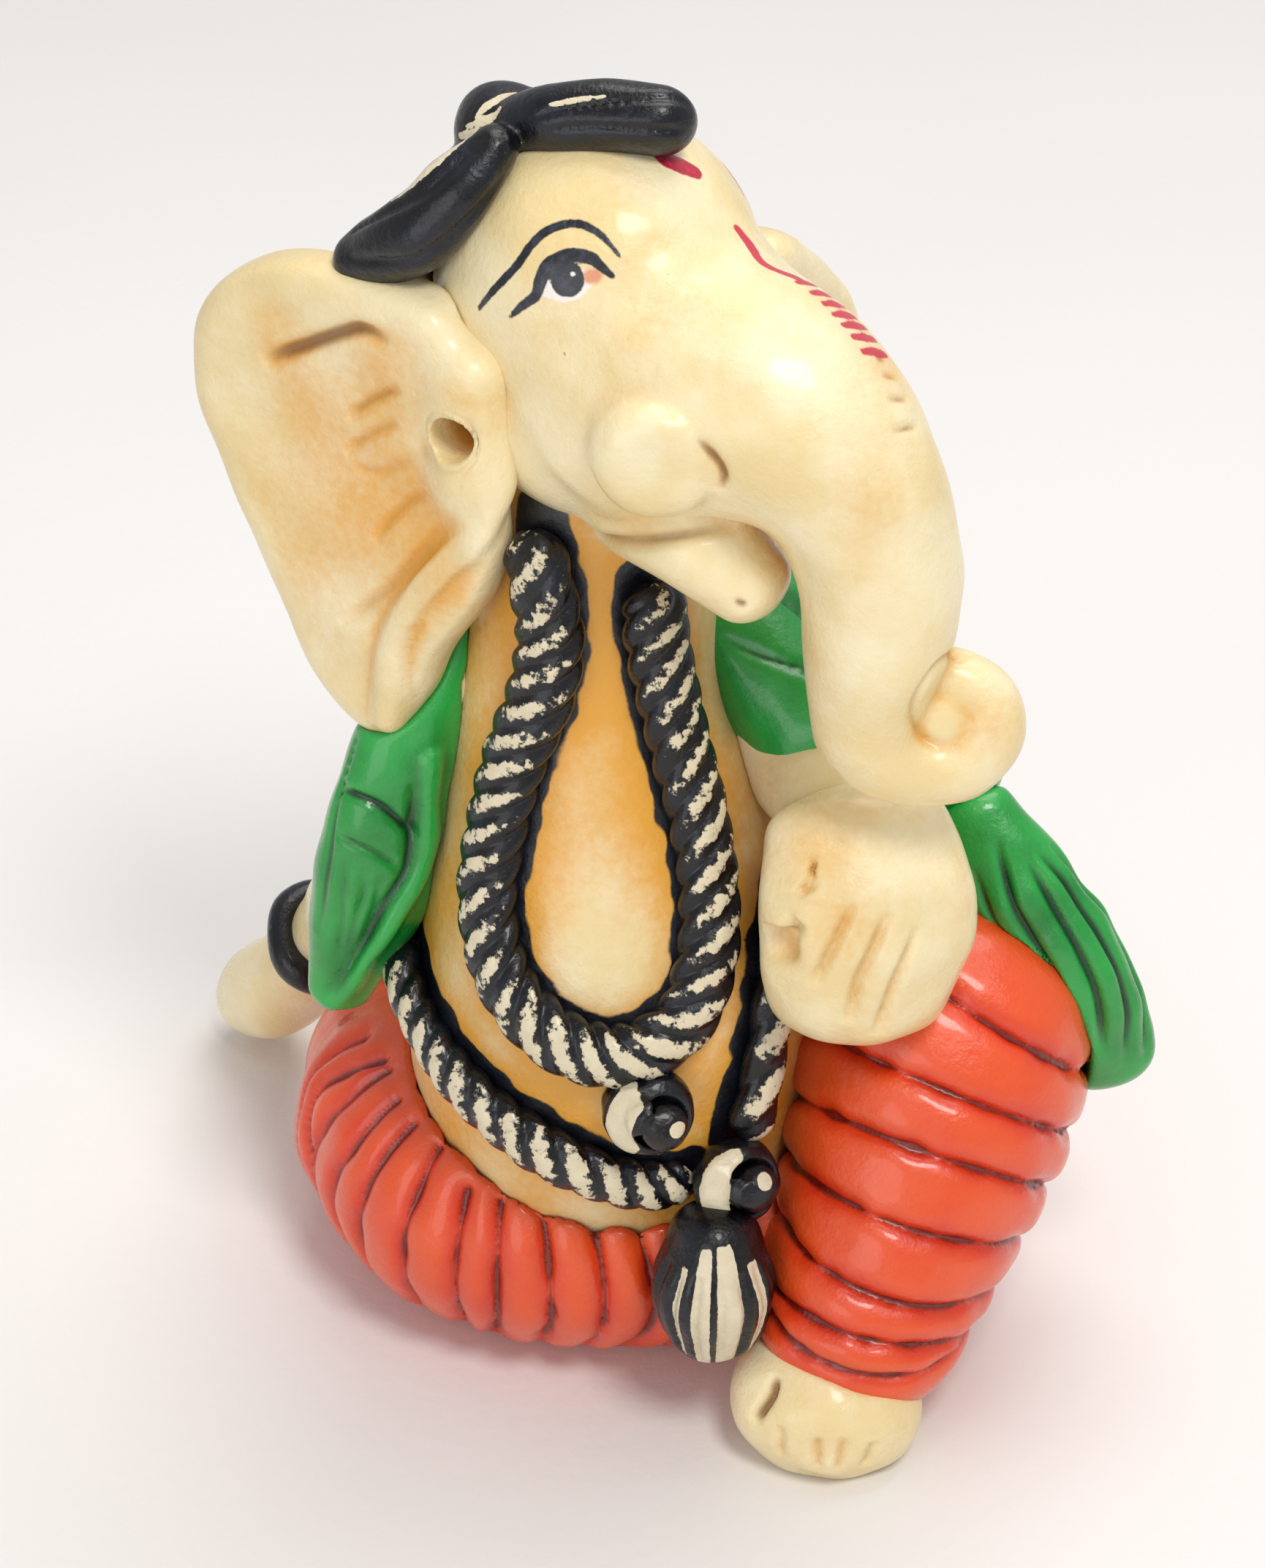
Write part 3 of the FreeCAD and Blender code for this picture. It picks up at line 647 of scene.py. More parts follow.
# ---------------------------------------------------------------- ears
EAR_LINES = [  # points on the hollow side from the ear box's centre, depth, half width, darkness of its painted shade
    (((-5.0, 1.7, 8.4), (-3.8, 0.6, 9.4), (-2.4, -0.7, 10.5), (-1.1, -2.0, 11.6), (0.1, -3.1, 12.4),
     (1.0, -4.0, 12.3),
      (1.4, -4.4, 11.9)), 0.60, 0.55, 1.15),
    (((-1.0, -2.1, 6.2), (0.2, -3.3, 7.7), (1.4, -4.4, 8.9), (1.9, -4.8, 9.3)), 0.38, 0.34, 0.62),
    (((-1.2, -1.9, 3.9), (-0.2, -2.9, 5.1), (0.7, -3.8, 6.1), (1.6, -4.6, 7.0)), 0.30, 0.34, 0.50),
    (((-0.8, -2.3, 2.9), (0.7, -3.7, 3.3), (2.2, -5.1, 4.9)), 0.22, 0.30, 0.30),
    (((0.2, -3.3, -1.3), (1.1, -4.1, 0.5), (2.1, -5.0, 2.0), (2.9, -5.8, 3.0)), 0.30, 0.32, 0.50),
    (((-1.5, -1.6, -7.5), (0.4, -3.4, -5.1), (1.6, -4.6, -3.0), (2.9, -5.8, -0.7),
     (3.8, -6.7, 1.2)), 0.40, 0.40, 0.55),
]
RIM = ((7.0, -6.7, 5.4), (6.6, -7.4, 3.6), (5.6, -7.8, 1.4), (4.0, -6.7, -1.2), (2.5, -5.2, -4.2),
       (1.5, -4.3, -7.0), (1.0, -3.9, -10.4), (0.9, -3.5, -13.2))
CANAL = (4.9, -7.0, 7.3)


def ear(side, lines, rim, canal, out_way):
    """An ear flap. With a rim given, it also gets its rolled edge and its hole."""
    node = f"{side}_ear"
    block = Block([node], 0.21)
    block.field = block.node(node)
    spot = off(node, canal)[0]
    if rim is not None:
        rim = smooth_line(off(node, *rim))
        edge = block.roll(rim - out_way * 0.25, np.linspace(1.15, 1.0, len(rim)))
        block.field = join(block.field, edge, 0.45)
        ends = [spot - out_way * 1.6 + (0, 0, 3.0), spot - out_way * 1.2 - (0, 0, 3.0)]
        lump = block.roll(ends, [2.4, 2.6])
        block.field = join(block.field, lump, 1.2)
        shaft = block.roll([spot + out_way * 3.5, spot - out_way * 3.0], [1.55, 1.05])
        block.field = cut_out(block.field, shaft, 0.6)
    block.field = soften(block.field, 2)
    points, quads, normals, hollow = lump_of(block)
    push, crease_shade = np.zeros(len(points)), np.zeros(len(points))
    for rows, depth, width, dark in lines:
        down, shade = groove(points, normals, off(node, *rows), depth, width, fade=0.22, reach=1.6)
        push += down
        crease_shade = np.maximum(crease_shade, dark * shade)
    facing = np.clip(normals @ out_way, 0, 1)
    bowl = spot - out_way + unit((-0.72, 0.69, 0)) * 6.0 - (0, 0, 4.0)
    dish = step_up(facing, 0.6, 1.0) * blob(points, bowl, 9.0)
    push -= 0.85 * dish
    # Painted shade inside the ear hole.
    in_canal = np.linalg.norm(np.cross(points - spot, out_way), axis=1) < 2.3
    canal_shade = step_up(-((points - spot) @ out_way), 0.2, 2.2) * in_canal
    crease_shade = np.maximum(crease_shade, 0.75 * canal_shade)
    points = points + normals * (push + 0.07 * lumps(points, 6.0, 33))[:, None]
    # A band of painted shade beside the rolled rim.
    if rim is not None:
        d = along(points, normals, rim, reach=3.0)[0]
        right_of = (points - rim[len(rim) // 2]) @ unit((0.978, -0.208, 0.3)) > -1.0
        crease_shade = np.maximum(crease_shade, 0.42 * np.exp(-(((d - 1.2) / 0.5) ** 2)) * ~right_of)
    # Ochre in the pressed bowl and under the hole, and painted shade from the ear hole.
    ochre_and_shade = 0.55 * dish + 0.4 * canal_shade + 0.35 * blob(points, spot - (0, 0, 9.0), 7.0)
    marks = marks_for(points, normals, hollow, crease_shade, ochre_and_shade)
    make(node, points, quads, SKIN, [node], marks)


right_ear_out = unit((-0.69, -0.72, 0.0))
ear("right", EAR_LINES, RIM, CANAL, right_ear_out)
ear("left", (), None, (0.0, 0.0, 0.0), unit((0.6, 0.8, 0.0)))


# ---------------------------------------------------------------- belly
TORSO_ROWS = [  # height, sideways and forward place from the torso's centre, share of the girth
    (-26.15, 0, 2.63, 0.80),
    (-20.15, 0, 1.13, 0.98),
    (-13.15, 0, 0.03, 1.05),
    (-6.15, 0, -0.17, 1.02),
    (0.85, -0.1, 0.63, 0.92),
    (7.85, -0.6, 1.43, 0.78),
    (13.85, -1.0, 1.83, 0.66),
    (19.85, -1.1, 1.63, 0.56),
    (25.85, -1.1, 1.23, 0.50),
]
TORSO = np.array(TORSO_ROWS) + np.append(centre("torso")[[2, 0, 1]], 0)
GIRTH = 12.6


def on_belly(angle, height, lift):
    """A point lift outside the belly, its angle in degrees from the front towards the sitter's left."""
    x, y, f = (np.interp(height, TORSO[:, 0], TORSO[:, k]) for k in (1, 2, 3))
    reach = f * GIRTH + lift
    a = math.radians(angle)
    return np.array([x + reach * math.sin(a), y - reach * math.cos(a), height])


# Rope routes: angle round the belly in degrees, and height.
NECK = [(-42, 59.0), (-35, 55.6), (-30, 52.2), (-33, 48.6), (-42, 44.4), (-48, 39.8), (-50, 35.2),
(-43, 31.0),
        (-28, 28.2), (-11, 27.4), (5, 29.0), (14, 32.4), (19, 36.4), (21, 40.6), (20, 44.6), (18, 48.4),
        (16, 52.0),
        (16, 55.6)]
WAIST_RIGHT = [(-96, 27.2), (-84, 26.2), (-70, 24.6), (-54, 22.8), (-38, 21.0), (-22, 19.2), (-6, 17.6),
(8, 17.2)]
WAIST_LEFT = [(22, 19.6), (27, 24.0), (33, 28.2), (42, 32.4), (56, 35.2)]
WAIST_BACK = [(56, 35.2), (72, 34.4), (96, 32.0), (124, 30.0), (152, 28.4), (180, 27.6), (208, 27.2),
(236, 27.0),
              (264, 27.2)]


def route(table, lift):
    return smooth_line([on_belly(a, z, lift) for a, z in table], 8)


# ---------------------------------------------------------------- ropes
def rope(name, line, radius, nodes, lay=6.0, strands=3, flat=0.78, tight=0.16, seed=1):
    """A twisted rope laid on the belly: each strand bulges, the hollows between wind round the rope."""
    steps = np.linalg.norm(np.diff(line, axis=0), axis=1)
    run = np.concatenate([[0], np.cumsum(steps)])
    rows = int(run[-1] / (0.16 * COARSE))
    cols = int(72 / COARSE)
    s = np.linspace(0, run[-1], rows)
    path = np.stack([np.interp(s, run, line[:, k]) for k in range(3)], axis=1)
    for _ in range(6):
        path[1:-1] = 0.5 * path[1:-1] + 0.25 * (path[:-2] + path[2:])
    way = np.gradient(path, axis=0)
    way /= np.linalg.norm(way, axis=1, keepdims=True)
    x, y = (np.interp(path[:, 2], TORSO[:, 0], TORSO[:, k]) for k in (1, 2))
    out = path - np.stack([x, y, path[:, 2]], axis=1)
    out -= (out * way).sum(axis=1, keepdims=True) * way
    out /= np.linalg.norm(out, axis=1, keepdims=True)
    side = np.cross(way, out)
    turn = np.arange(cols) * 2 * math.pi / cols
    r = np.random.default_rng(seed)
    knots = max(int(run[-1] / 4), 4)
    wander = np.interp(s, np.linspace(0, run[-1], knots), r.normal(0, 0.20, knots))
    phase = strands * (turn[None, :] - 2 * math.pi * (s[:, None] + wander[:, None]) / lay)
    bulge = np.abs(np.cos(phase / 2)) ** 0.9
    size = radius * (1 + 0.05 * np.interp(s, np.linspace(0, run[-1], 9), r.normal(0, 1, 9)))
    from_end = np.clip(np.minimum(s, run[-1] - s) / radius, 0, 1)
    round_end = np.sqrt(np.clip(1 - (1 - from_end) ** 2, 0, 1))
    reach = size[:, None] * round_end[:, None] * (1 - tight + tight * bulge)
    lift = reach * np.cos(turn)[None, :] * flat
    over = reach * np.sin(turn)[None, :]
    points = path[:, None, :] + lift[..., None] * out[:, None, :] + over[..., None] * side[:, None, :]
    upness = side[:, 2:] * np.sin(turn)[None, :] + out[:, 2:] * np.cos(turn)[None, :]
    low_part = step_up(-path[:, 2:], -31.0, -28.0)
    ridge = (bulge * 0.55 + 0.42 * np.cos(turn)[None, :] + 0.12 * upness + 0.10 * low_part).ravel()
    points = points.reshape(-1, 3)
    i, j = np.meshgrid(np.arange(rows - 1), np.arange(cols), indexing="ij")
    k = (j + 1) % cols
    ring, after = i * cols, (i + 1) * cols
    quads = np.stack([ring + j, ring + k, after + k, after + j], axis=-1).reshape(-1, 4)
    make(name, points, quads, ROPE, nodes, {"ridge": ridge})
    return path


neck_path = rope("neck_rope", route(NECK, 0.9), 2.05, ["neck_rope"], lay=8.8, strands=4, seed=3)
waist_path = rope("waist_rope_right", route(WAIST_RIGHT, 1.0), 1.75, ["waist_rope_right"], lay=6.0, seed=4)
sash_line = route(WAIST_LEFT, 1.0)
sash_path = rope("waist_rope_left", sash_line, 1.6, ["waist_rope_left"], lay=7.5, strands=2, seed=5)
rope("waist_rope_back", route(WAIST_BACK, 1.0), 1.6, ["waist_rope_back"], lay=5.4, seed=6)

block = Block(["torso"], 0.26)
block.field = soften(block.node("torso"), 2)
points, quads, normals, hollow = shape_of(block)
edge = np.full(len(points), FAR)
for path, half in ((neck_path, 2.35), (waist_path, 2.35), (sash_path, 2.3)):
    flat_line = path[::6]
    edge = np.minimum(edge, along(points, normals, flat_line, reach=4.0)[0] - half)
edge += 0.18 * lumps(points, 2.4, 41)
points = points + normals * (0.10 * lumps(points, 8.0, 22))[:, None]
near_rope = np.exp(-np.maximum(edge, 0) / 1.6)
ochre_and_shade = 0.48 + 0.62 * near_rope + 0.25 * blob(points, on_belly(0, 50, 0), 6.0)
ochre_and_shade = ochre_and_shade - 0.50 * blob(points, on_belly(-14, 33, 0), 4.5)
marks = marks_for(points, normals, hollow, None, ochre_and_shade)
for key in ("ink", "eye_white", "eye_pink", "glint", "tilak", "red_line"):
    marks[key] = np.full(len(points), FAR)
marks["rope_edge"] = edge
make("torso", points, quads, FACE, ["torso"], marks)


# ---------------------------------------------------------------- dhoti: pleats and wraps
def wrapped(name, nodes, k, distances, depth, puff, material, step=0.24):
    """A leg in cloth: grooves where distances come near nought and rounded folds between them."""
    block = mixed(nodes, step, k)
    block.field = soften(block.field, 2)
    points, quads, normals, hollow = lump_of(block)
    gap = np.abs(distances(points, normals) + 0.10 * lumps(points, 3.0, 51))
    cut = np.exp(-((gap / 0.26) ** 2))
    push = puff * (1 - np.exp(-((gap / 0.75) ** 2))) - puff * 0.4 - depth * cut
    points = points + normals * (push + 0.07 * lumps(points, 5.0, 52))[:, None]
    # Painted shade in the grooves, and a wider band of painted shade beside them.
    marks = marks_for(points, normals, hollow, cut)
    marks["hollow"] = np.clip(marks["hollow"] + 0.55 * np.exp(-((gap / 0.8) ** 2)) - 0.15, -1, 1)
    make(name, points, quads, material, nodes, marks)


PLEATS = [  # from the top beside the belt to the widest place, from the centre of the folded leg's box
    ((-12.6, 0.4, 7.7), (-14.2, 1.1, 6.5), (-16.0, 1.5, 4.2)),
    ((-11.8, -2.5, 8.0), (-13.3, -1.7, 7.0), (-15.6, -0.4, 4.8)),
    ((-11.8, -3.5, 8.0), (-14.6, -3.2, 5.4), (-16.5, -2.5, 1.6)),
    ((-11.6, -6.1, 7.5), (-14.5, -6.4, 4.3), (-15.9, -5.8, 0.2)),
    ((-10.8, -8.3, 7.2), (-13.9, -8.9, 3.5), (-14.8, -8.7, -1.0)),
    ((-9.6, -10.5, 6.8), (-11.5, -11.8, 3.9), (-12.5, -12.2, 0.1)),
    ((-8.3, -13.3, 5.3), (-9.2, -14.5, 2.6), (-9.6, -14.7, -1.6)),
    ((-6.4, -14.6, 5.2), (-6.9, -15.9, 2.6), (-7.2, -16.3, -0.9)),
    ((-4.1, -15.6, 5.4), (-4.0, -17.2, 2.6), (-3.9, -17.6, -1.7)),
    ((-1.2, -15.6, 5.4), (-0.8, -17.9, 2.7), (-0.6, -18.6, -1.5)),
    ((1.6, -16.0, 5.2), (2.0, -18.6, 2.4), (2.5, -19.2, -1.3)),
    ((4.4, -16.4, 5.0), (4.8, -18.8, 2.2), (5.2, -19.4, -1.3)),
]
HUB = off("right_leg", (-6.0, -6.5, 0.0))[0]


def pleat_gap(points, normals):
    gap = np.full(len(points), FAR)
    for rows in PLEATS:
        line = off("right_leg", *rows)
        inward = unit((HUB - line[-1]) * (1, 1, 0))
        tucked = [line[-1] + inward * 0.7 - (0, 0, 3.2), line[-1] + inward * 3.2 - (0, 0, 6.8)]
        gap = np.minimum(gap, along(points, normals, smooth_line(np.vstack([line, tucked])), reach=3.5)[0])
    way = unit((-14.6, -7.6, 1.8))
    behind = off("right_leg", (7.6, 12.4, -2.0))[0]
    back_share = step_up(points[:, 1], behind[1] - 11.0, behind[1] - 9.5)
    for s in np.arange(-1.0, 13.5, 2.7):
        gap = np.minimum(gap, np.abs((points - behind) @ way - s) + (1 - back_share) * FAR)
    return gap


WRAPS = [  # slant of each wrap and a place it passes, from the centre of the raised leg's box
    ((0.61, 0.24, 0.76), (4.8, -11.1, 9.4)),
    ((0.47, 0.39, 0.79), (-0.7, -12.6, 7.7)),
    ((0.43, 0.43, 0.80), (-1.9, -14.4, 4.3)),
    ((0.38, 0.28, 0.88), (-3.2, -15.7, 0.0)),
    ((0.33, 0.10, 0.94), (-5.0, -17.4, -3.7)),
    ((0.29, 0.19, 0.94), (-7.1, -18.2, -5.9)),
    ((0.14, -0.15, 0.98), (-7.3, -18.8, -8.2)),
]


def wrap_gap(points, normals):
    gap = np.full(len(points), FAR)
    knee = off("left_leg", (0.0, -1.0, 0.0))[0]
    front = step_up(-points[:, 1], -knee[1] - 1.5, -knee[1] + 0.5)
    for way, place in WRAPS:
        gap = np.minimum(gap, np.abs((points - off("left_leg", place)[0]) @ unit(way)) + (1 - front) * FAR)
    way = unit((8.4, -13.6, 11.4))
    start = off("left_leg", (-7.6, 11.9, -6.8))[0]
    for s in np.arange(0.0, 14.0, 2.9):
        gap = np.minimum(gap, np.abs((points - start) @ way - s) + front * FAR)
    return gap


wrapped("right_leg", ["right_leg", "dhoti_seat"], 1.2, pleat_gap, 0.42, 0.42, ORANGE)
wrapped("left_leg", ["left_leg"], 1.0, wrap_gap, 0.42, 0.46, ORANGE)


# ---------------------------------------------------------------- hands, feet and arms
def worked(
    name, nodes, lines, material,
    step=0.2, k=1.0, ochre_and_shade=0.15, seed=61, uneven=0.08, shape=None, mark=None,
):
    """A piece shaped by hand and then marked with a tool along lines."""
    block = mixed(nodes, step, k)
    if shape:
        shape(block)
    block.field = soften(block.field, 2)
    points, quads, normals, hollow = lump_of(block)
    push, crease_shade = np.zeros(len(points)), np.zeros(len(points))
    # Each tool line is pressed in and gets painted shade along it, as dark as its last number.
    for anchor, rows, depth, width, dark in lines:
        down, shade = groove(points, normals, off(anchor, *rows), depth, width, fade=0.2)
        push += down
        crease_shade = np.maximum(crease_shade, dark * shade)
    points = points + normals * (push + uneven * lumps(points, 4.5, seed))[:, None]
    marks = marks_for(points, normals, hollow, np.maximum(crease_shade, 0), ochre_and_shade)
    if mark:
        marks.update(mark(points, normals))
    make(name, points, quads, material, nodes, marks)


H = "left_hand"
HAND_LINES = [
    (H, ((-1.7, -3.3, 3.6), (-2.6, -3.8, 2.2), (-3.3, -3.9, 0.6), (-4.1, -3.6, -1.6)), 0.60, 0.36, 0.5),
    (H, ((0.3, -3.8, 3.0), (-0.8, -4.5, 0.9), (-1.6, -4.6, -1.1), (-2.1, -4.4, -4.2)), 0.62, 0.36, 0.5),
    (H, ((2.1, -4.1, 2.0), (0.9, -4.7, -0.6), (0.1, -4.6, -3.3), (-0.3, -4.0, -5.2)), 0.58, 0.36, 0.5),
    (H, ((-7.0, -1.2, 0.4), (-5.7, -2.5, 1.1), (-4.7, -2.6, 2.4)), 0.85, 0.55, 0.55),
    (H, ((-3.9, -1.2, 5.0), (-3.5, -1.4, 5.0)), 0.45, 0.62, 0.85),
    (H, ((-4.4, -1.6, 4.3), (-4.0, -1.9, 3.8)), 0.30, 0.55, 0.55),
]


def thumb_notch(block):
    """The bent thumb stands clear of the fingers on the inner side of the hand."""
    notch = off(H, (-8.6, -0.2, -0.6), (-5.6, -2.6, 0.3))
    block.field = cut_out(block.field, block.roll(notch, [1.5, 0.8]), 0.8)


worked("left_hand", ["left_hand"], HAND_LINES, SKIN, step=0.19, ochre_and_shade=0.30, shape=thumb_notch)

F = "left_foot"
FOOT_LINES = [
    (F, ((-3.6, -2.0, 3.0), (-4.2, -2.8, 2.2), (-4.8, -3.0, 1.2), (-5.2, -3.0, 0.3)), 0.75, 0.34, 1.3),
    (F, ((-3.7, -4.2, 0.9), (-4.0, -4.6, -1.4)), 0.30, 0.30, 0.45),
    (F, ((-1.8, -5.4, 0.6), (-1.9, -5.9, -1.8)), 0.38, 0.32, 0.5),
    (F, ((-0.2, -5.7, 0.7), (-0.7, -6.0, -1.9)), 0.36, 0.32, 0.5),
    (F, ((1.6, -5.7, 0.1), (1.1, -6.0, -1.9)), 0.36, 0.32, 0.5),
]
worked("left_foot", ["left_foot"], FOOT_LINES, SKIN, step=0.19, ochre_and_shade=0.22)
ARM = ((5.9, -9.2, 16.6), (2.9, -5.2, 7.6), (0.9, 0.2, -3.4), (-1.5, 6.0, -12.4), (-3.1, 9.2, -17.0),
       (-4.9, 12.8, -22.0), (-5.9, 15.2, -24.2))


def reaching_back(block):
    """The right arm, drawn in behind its sleeve, down to the closed hand on the ground."""
    line = smooth_line(off("right_arm", *ARM), 5)
    sizes = spread((3.9, 4.1, 3.7, 2.7, 2.7, 3.6, 3.4), len(line))
    ground = block.half((0, 0, 0.05), (0, 0, -1))
    block.field = cut_out(block.roll(line, sizes), -ground, 0.4)


ARM_NODES = ["right_arm", "right_hand"]
worked("right_arm", ARM_NODES, [], SKIN, step=0.24, ochre_and_shade=0.12, seed=62, shape=reaching_back)
worked("left_arm", ["left_arm"], [], SKIN, step=0.24, ochre_and_shade=0.1, seed=63)

# ---------------------------------------------------------------- shawl
S = "right_sleeve"
SLEEVE_LINES = [
    (S, ((-3.6, -1.0, 3.2), (-2.4, -2.0, 3.2), (-1.2, -2.7, 2.8), (-0.2, -3.0, 1.9),
         (1.2, -2.8, 0.0)), 0.42, 0.34, 1.0),
    (S, ((-3.6, -2.0, 0.6), (-1.7, -3.2, -0.2), (0.2, -3.2, -1.9)), 0.28, 0.26, 0.7),
    (S, ((-3.3, -2.6, -0.6), (-3.6, -3.1, -3.6), (-3.8, -3.2, -5.9), (-4.2, -3.0, -8.6)), 0.32, 0.40, 0.55),
    (S, ((-2.1, -3.3, -1.3), (-2.3, -3.4, -3.5), (-3.0, -3.4, -5.7), (-3.8, -3.1, -8.6)), 0.34, 0.40, 0.55),
    (S, ((-1.2, -3.4, -2.0), (-1.6, -3.4, -4.3), (-2.6, -3.3, -6.9), (-3.6, -3.0, -9.2),
         (-4.9, -2.8, -11.5)), 0.36, 0.42, 0.6),
    (S, ((1.2, -3.0, 4.0), (0.9, -3.0, 1.0), (0.5, -3.1, -1.8), (-0.8, -3.2, -4.0), (-2.0, -3.2, -6.4),
         (-3.4, -3.0, -9.0)), 0.42, 0.34, 0.9),
    (S, ((-4.2, -0.6, 8.0), (-3.9, -1.2, 3.0), (-4.2, -2.0, -2.0), (-4.9, -2.2, -6.5)), 0.25, 0.35, 0.75),
]
SLEEVE_EDGE = ((2.3, -2.0, 5.2), (2.0, -2.3, 1.3), (1.6, -2.4, -1.6), (0.5, -2.8, -3.8),
               (-0.8, -3.0, -5.8), (-2.1, -3.0, -7.7), (-3.2, -2.8, -9.8), (-4.4, -2.2, -11.6))


def rolled_edge(block):
    """The rounded hem down the front of the shawl's end."""
    line = smooth_line(off(S, *SLEEVE_EDGE))
    block.field = join(block.field, block.roll(line, np.full(len(line), 0.75)), 0.5)


worked("right_sleeve", ["right_sleeve"], SLEEVE_LINES, GREEN, step=0.19, seed=71, shape=rolled_edge)
D = "left_drape"
DRAPE_LINES = [
    (D, ((-3.3, -0.6, 8.4), (-2.6, -2.2, 5.0), (-1.6, -3.3, 2.7), (-0.3, -4.3, 0.4),
         (0.6, -4.8, -3.2)), 0.45, 0.34, 1.0),
    (D, ((-1.6, -1.3, 7.4), (0.2, -3.4, 4.0), (1.5, -4.5, 1.4), (2.5, -5.2, -1.5),
         (3.0, -5.2, -5.6)), 0.50, 0.34, 1.0),
    (D, ((-1.0, -0.9, 7.9), (1.0, -2.2, 5.6), (2.5, -3.4, 3.1), (3.9, -4.4, 0.3), (4.6, -5.0, -2.6),
         (4.7, -5.0, -6.6)), 0.50, 0.34, 1.0),
    (D, ((0.2, -0.6, 7.6), (2.6, -1.4, 4.8), (4.4, -2.4, 2.0), (5.6, -3.4, -1.0), (6.1, -4.2, -4.0),
         (5.9, -4.4, -7.0)), 0.45, 0.34, 1.0),
    (D, ((1.6, 0.6, 7.0), (4.0, 0.0, 4.0), (5.8, -1.0, 1.0), (6.8, -2.2, -3.0),
         (6.8, -3.0, -6.4)), 0.40, 0.34, 0.9),
    (D, ((-4.6, -0.4, 6.4), (-3.6, -2.6, 2.4), (-2.6, -3.8, -0.6), (-1.8, -4.4, -3.8)), 0.35, 0.34, 0.8),
]
worked("left_drape", ["left_drape"], DRAPE_LINES, GREEN, step=0.19, seed=72, uneven=0.1)


L = "left_sleeve"


def over_arm(block):
    """The shawl lies over the upper arm as far as the elbow."""
    line = off(L, (-5.3, -0.8, 2.6), (-3.4, -3.2, 0.8), (-1.5, -5.8, -1.0))
    block.field = join(block.field, block.roll(line, [4.2, 4.2, 4.1]), 0.6)


worked("left_sleeve", ["left_sleeve"], [
    (L, ((-7.0, -4.0, 5.0), (-3.0, -5.6, 3.0), (1.5, -6.8, 0.5), (5.0, -8.0, -2.5)), 0.35, 0.35, 0.8),
    (L, ((-5.0, -1.0, 8.0), (0.0, -2.8, 5.5), (5.0, -5.0, 2.0)), 0.35, 0.35, 0.8),
], GREEN, step=0.24, seed=73, shape=over_arm)
B = "shawl_back"
worked("shawl_back", ["shawl_back"], [
    (B, ((-8.0, 1.0, -2.0), (-3.0, 4.2, 0.0), (3.0, 4.2, 1.6), (8.0, 1.0, 3.0)), 0.35, 0.35, 0.8),
    (B, ((-8.0, 0.0, -4.6), (-3.0, 3.4, -3.0), (3.0, 3.6, -1.6), (8.0, 0.0, 0.0)), 0.35, 0.35, 0.8),
], GREEN, step=0.24, seed=74)

# ---------------------------------------------------------------- hair
HAIR_NODES = ["forelock", "right_side_lock", "left_side_lock", "hair_bun", "hair_cap"]
HAIR_LINES = [
    ("forelock", ((-5.6, -2.2, -0.6), (-2.6, -3.4, 0.4), (1.0, -4.2, 0.6),
                  (4.6, -3.8, 0.2)), 0.30, 0.34, 0.0),
    ("forelock", ((-5.2, -1.2, 1.0), (-2.0, -1.8, 2.2), (2.0, -2.2, 2.3), (5.0, -2.0, 1.4)), 0.25, 0.34, 0.0),
    ("right_side_lock", ((4.6, -3.6, 2.6), (1.6, -4.2, 0.0), (-1.6, -2.6, -2.0),
                         (-4.6, -0.4, -2.8)), 0.30, 0.34, 0.0),
    ("right_side_lock", ((3.8, -1.6, 4.4), (0.6, -2.4, 2.0), (-2.4, -0.8, 0.2),
                         (-5.0, 1.6, -0.8)), 0.28, 0.34, 0.0),
]
BRUSHED = [  # strokes a nearly dry brush left: from a node's centre, with half widths
    ("right_side_lock", ((3.0, -0.8, 4.6), (0.2, -1.6, 2.9), (-2.6, 0.2, 1.1)), 0.30),
    ("hair_bun", ((-1.6, -1.8, 1.0), (-0.4, -1.4, 1.7), (1.0, -1.0, 1.8)), 0.24),
    ("hair_bun", ((-1.9, -1.6, 0.2), (-1.0, -2.2, 0.8), (0.4, -2.2, 1.1)), 0.20),
    ("hair_bun", ((-2.1, -1.2, -0.5), (-1.4, -2.2, 0.0), (-0.2, -2.6, 0.3)), 0.20),
    ("forelock", ((-3.6, -0.8, 1.9), (-2.0, -1.2, 2.5), (-0.4, -1.4, 2.6)), 0.22),
]


LOCKS = [  # rolls of hair: a node, places from the centre of its box, half thicknesses
    ("right_side_lock", ((3.9, -1.3, 3.5), (1.8, -1.7, 1.4), (-0.3, -1.0, -1.1), (-2.2, 0.8, -3.0),
                         (-3.4, 1.4, -3.6)),
     (1.5, 2.05, 2.3, 2.0, 1.5)),
    ("left_side_lock", ((-3.0, -7.6, 3.4), (1.5, -10.5, 0.5), (3.1, -12.0, -1.8), (3.6, -12.6, -3.0)),
                        (1.2, 1.5, 1.5, 1.2)),
    ("left_side_lock", ((-1.0, -5.0, 2.4), (1.0, -0.6, -1.0), (0.4, 2.6, -3.2), (-0.8, 4.6, -3.7)),
                        (1.6, 2.1, 2.0, 1.5)),
    ("forelock", ((-4.2, 3.3, -1.5), (-2.3, 1.5, -0.4), (0.3, 0.2, 0.0), (3.0, -1.0, 0.1)),
                  (1.7, 2.0, 2.1, 2.0)),
]


def trim_cap(block):
    """The painted hairline: the cap of hair starts behind the side locks."""
    middle = centre("hair_cap")
    cap = block.node("hair_cap")
    front = unit((0.588, -0.809, -0.42))
    cap = cut_out(cap, -block.half(middle + np.array((0.588, -0.809, 0)) * -2.2 + (0, 0, 3.0), front), 0.3)
    block.field = join(block.node("hair_bun"), cap, 0.5)
    for node, rows, radii in LOCKS:
        line = smooth_line(off(node, *rows), 5)
        sizes = spread(radii, len(line))
        block.field = join(block.field, block.roll(line, sizes), 0.22)


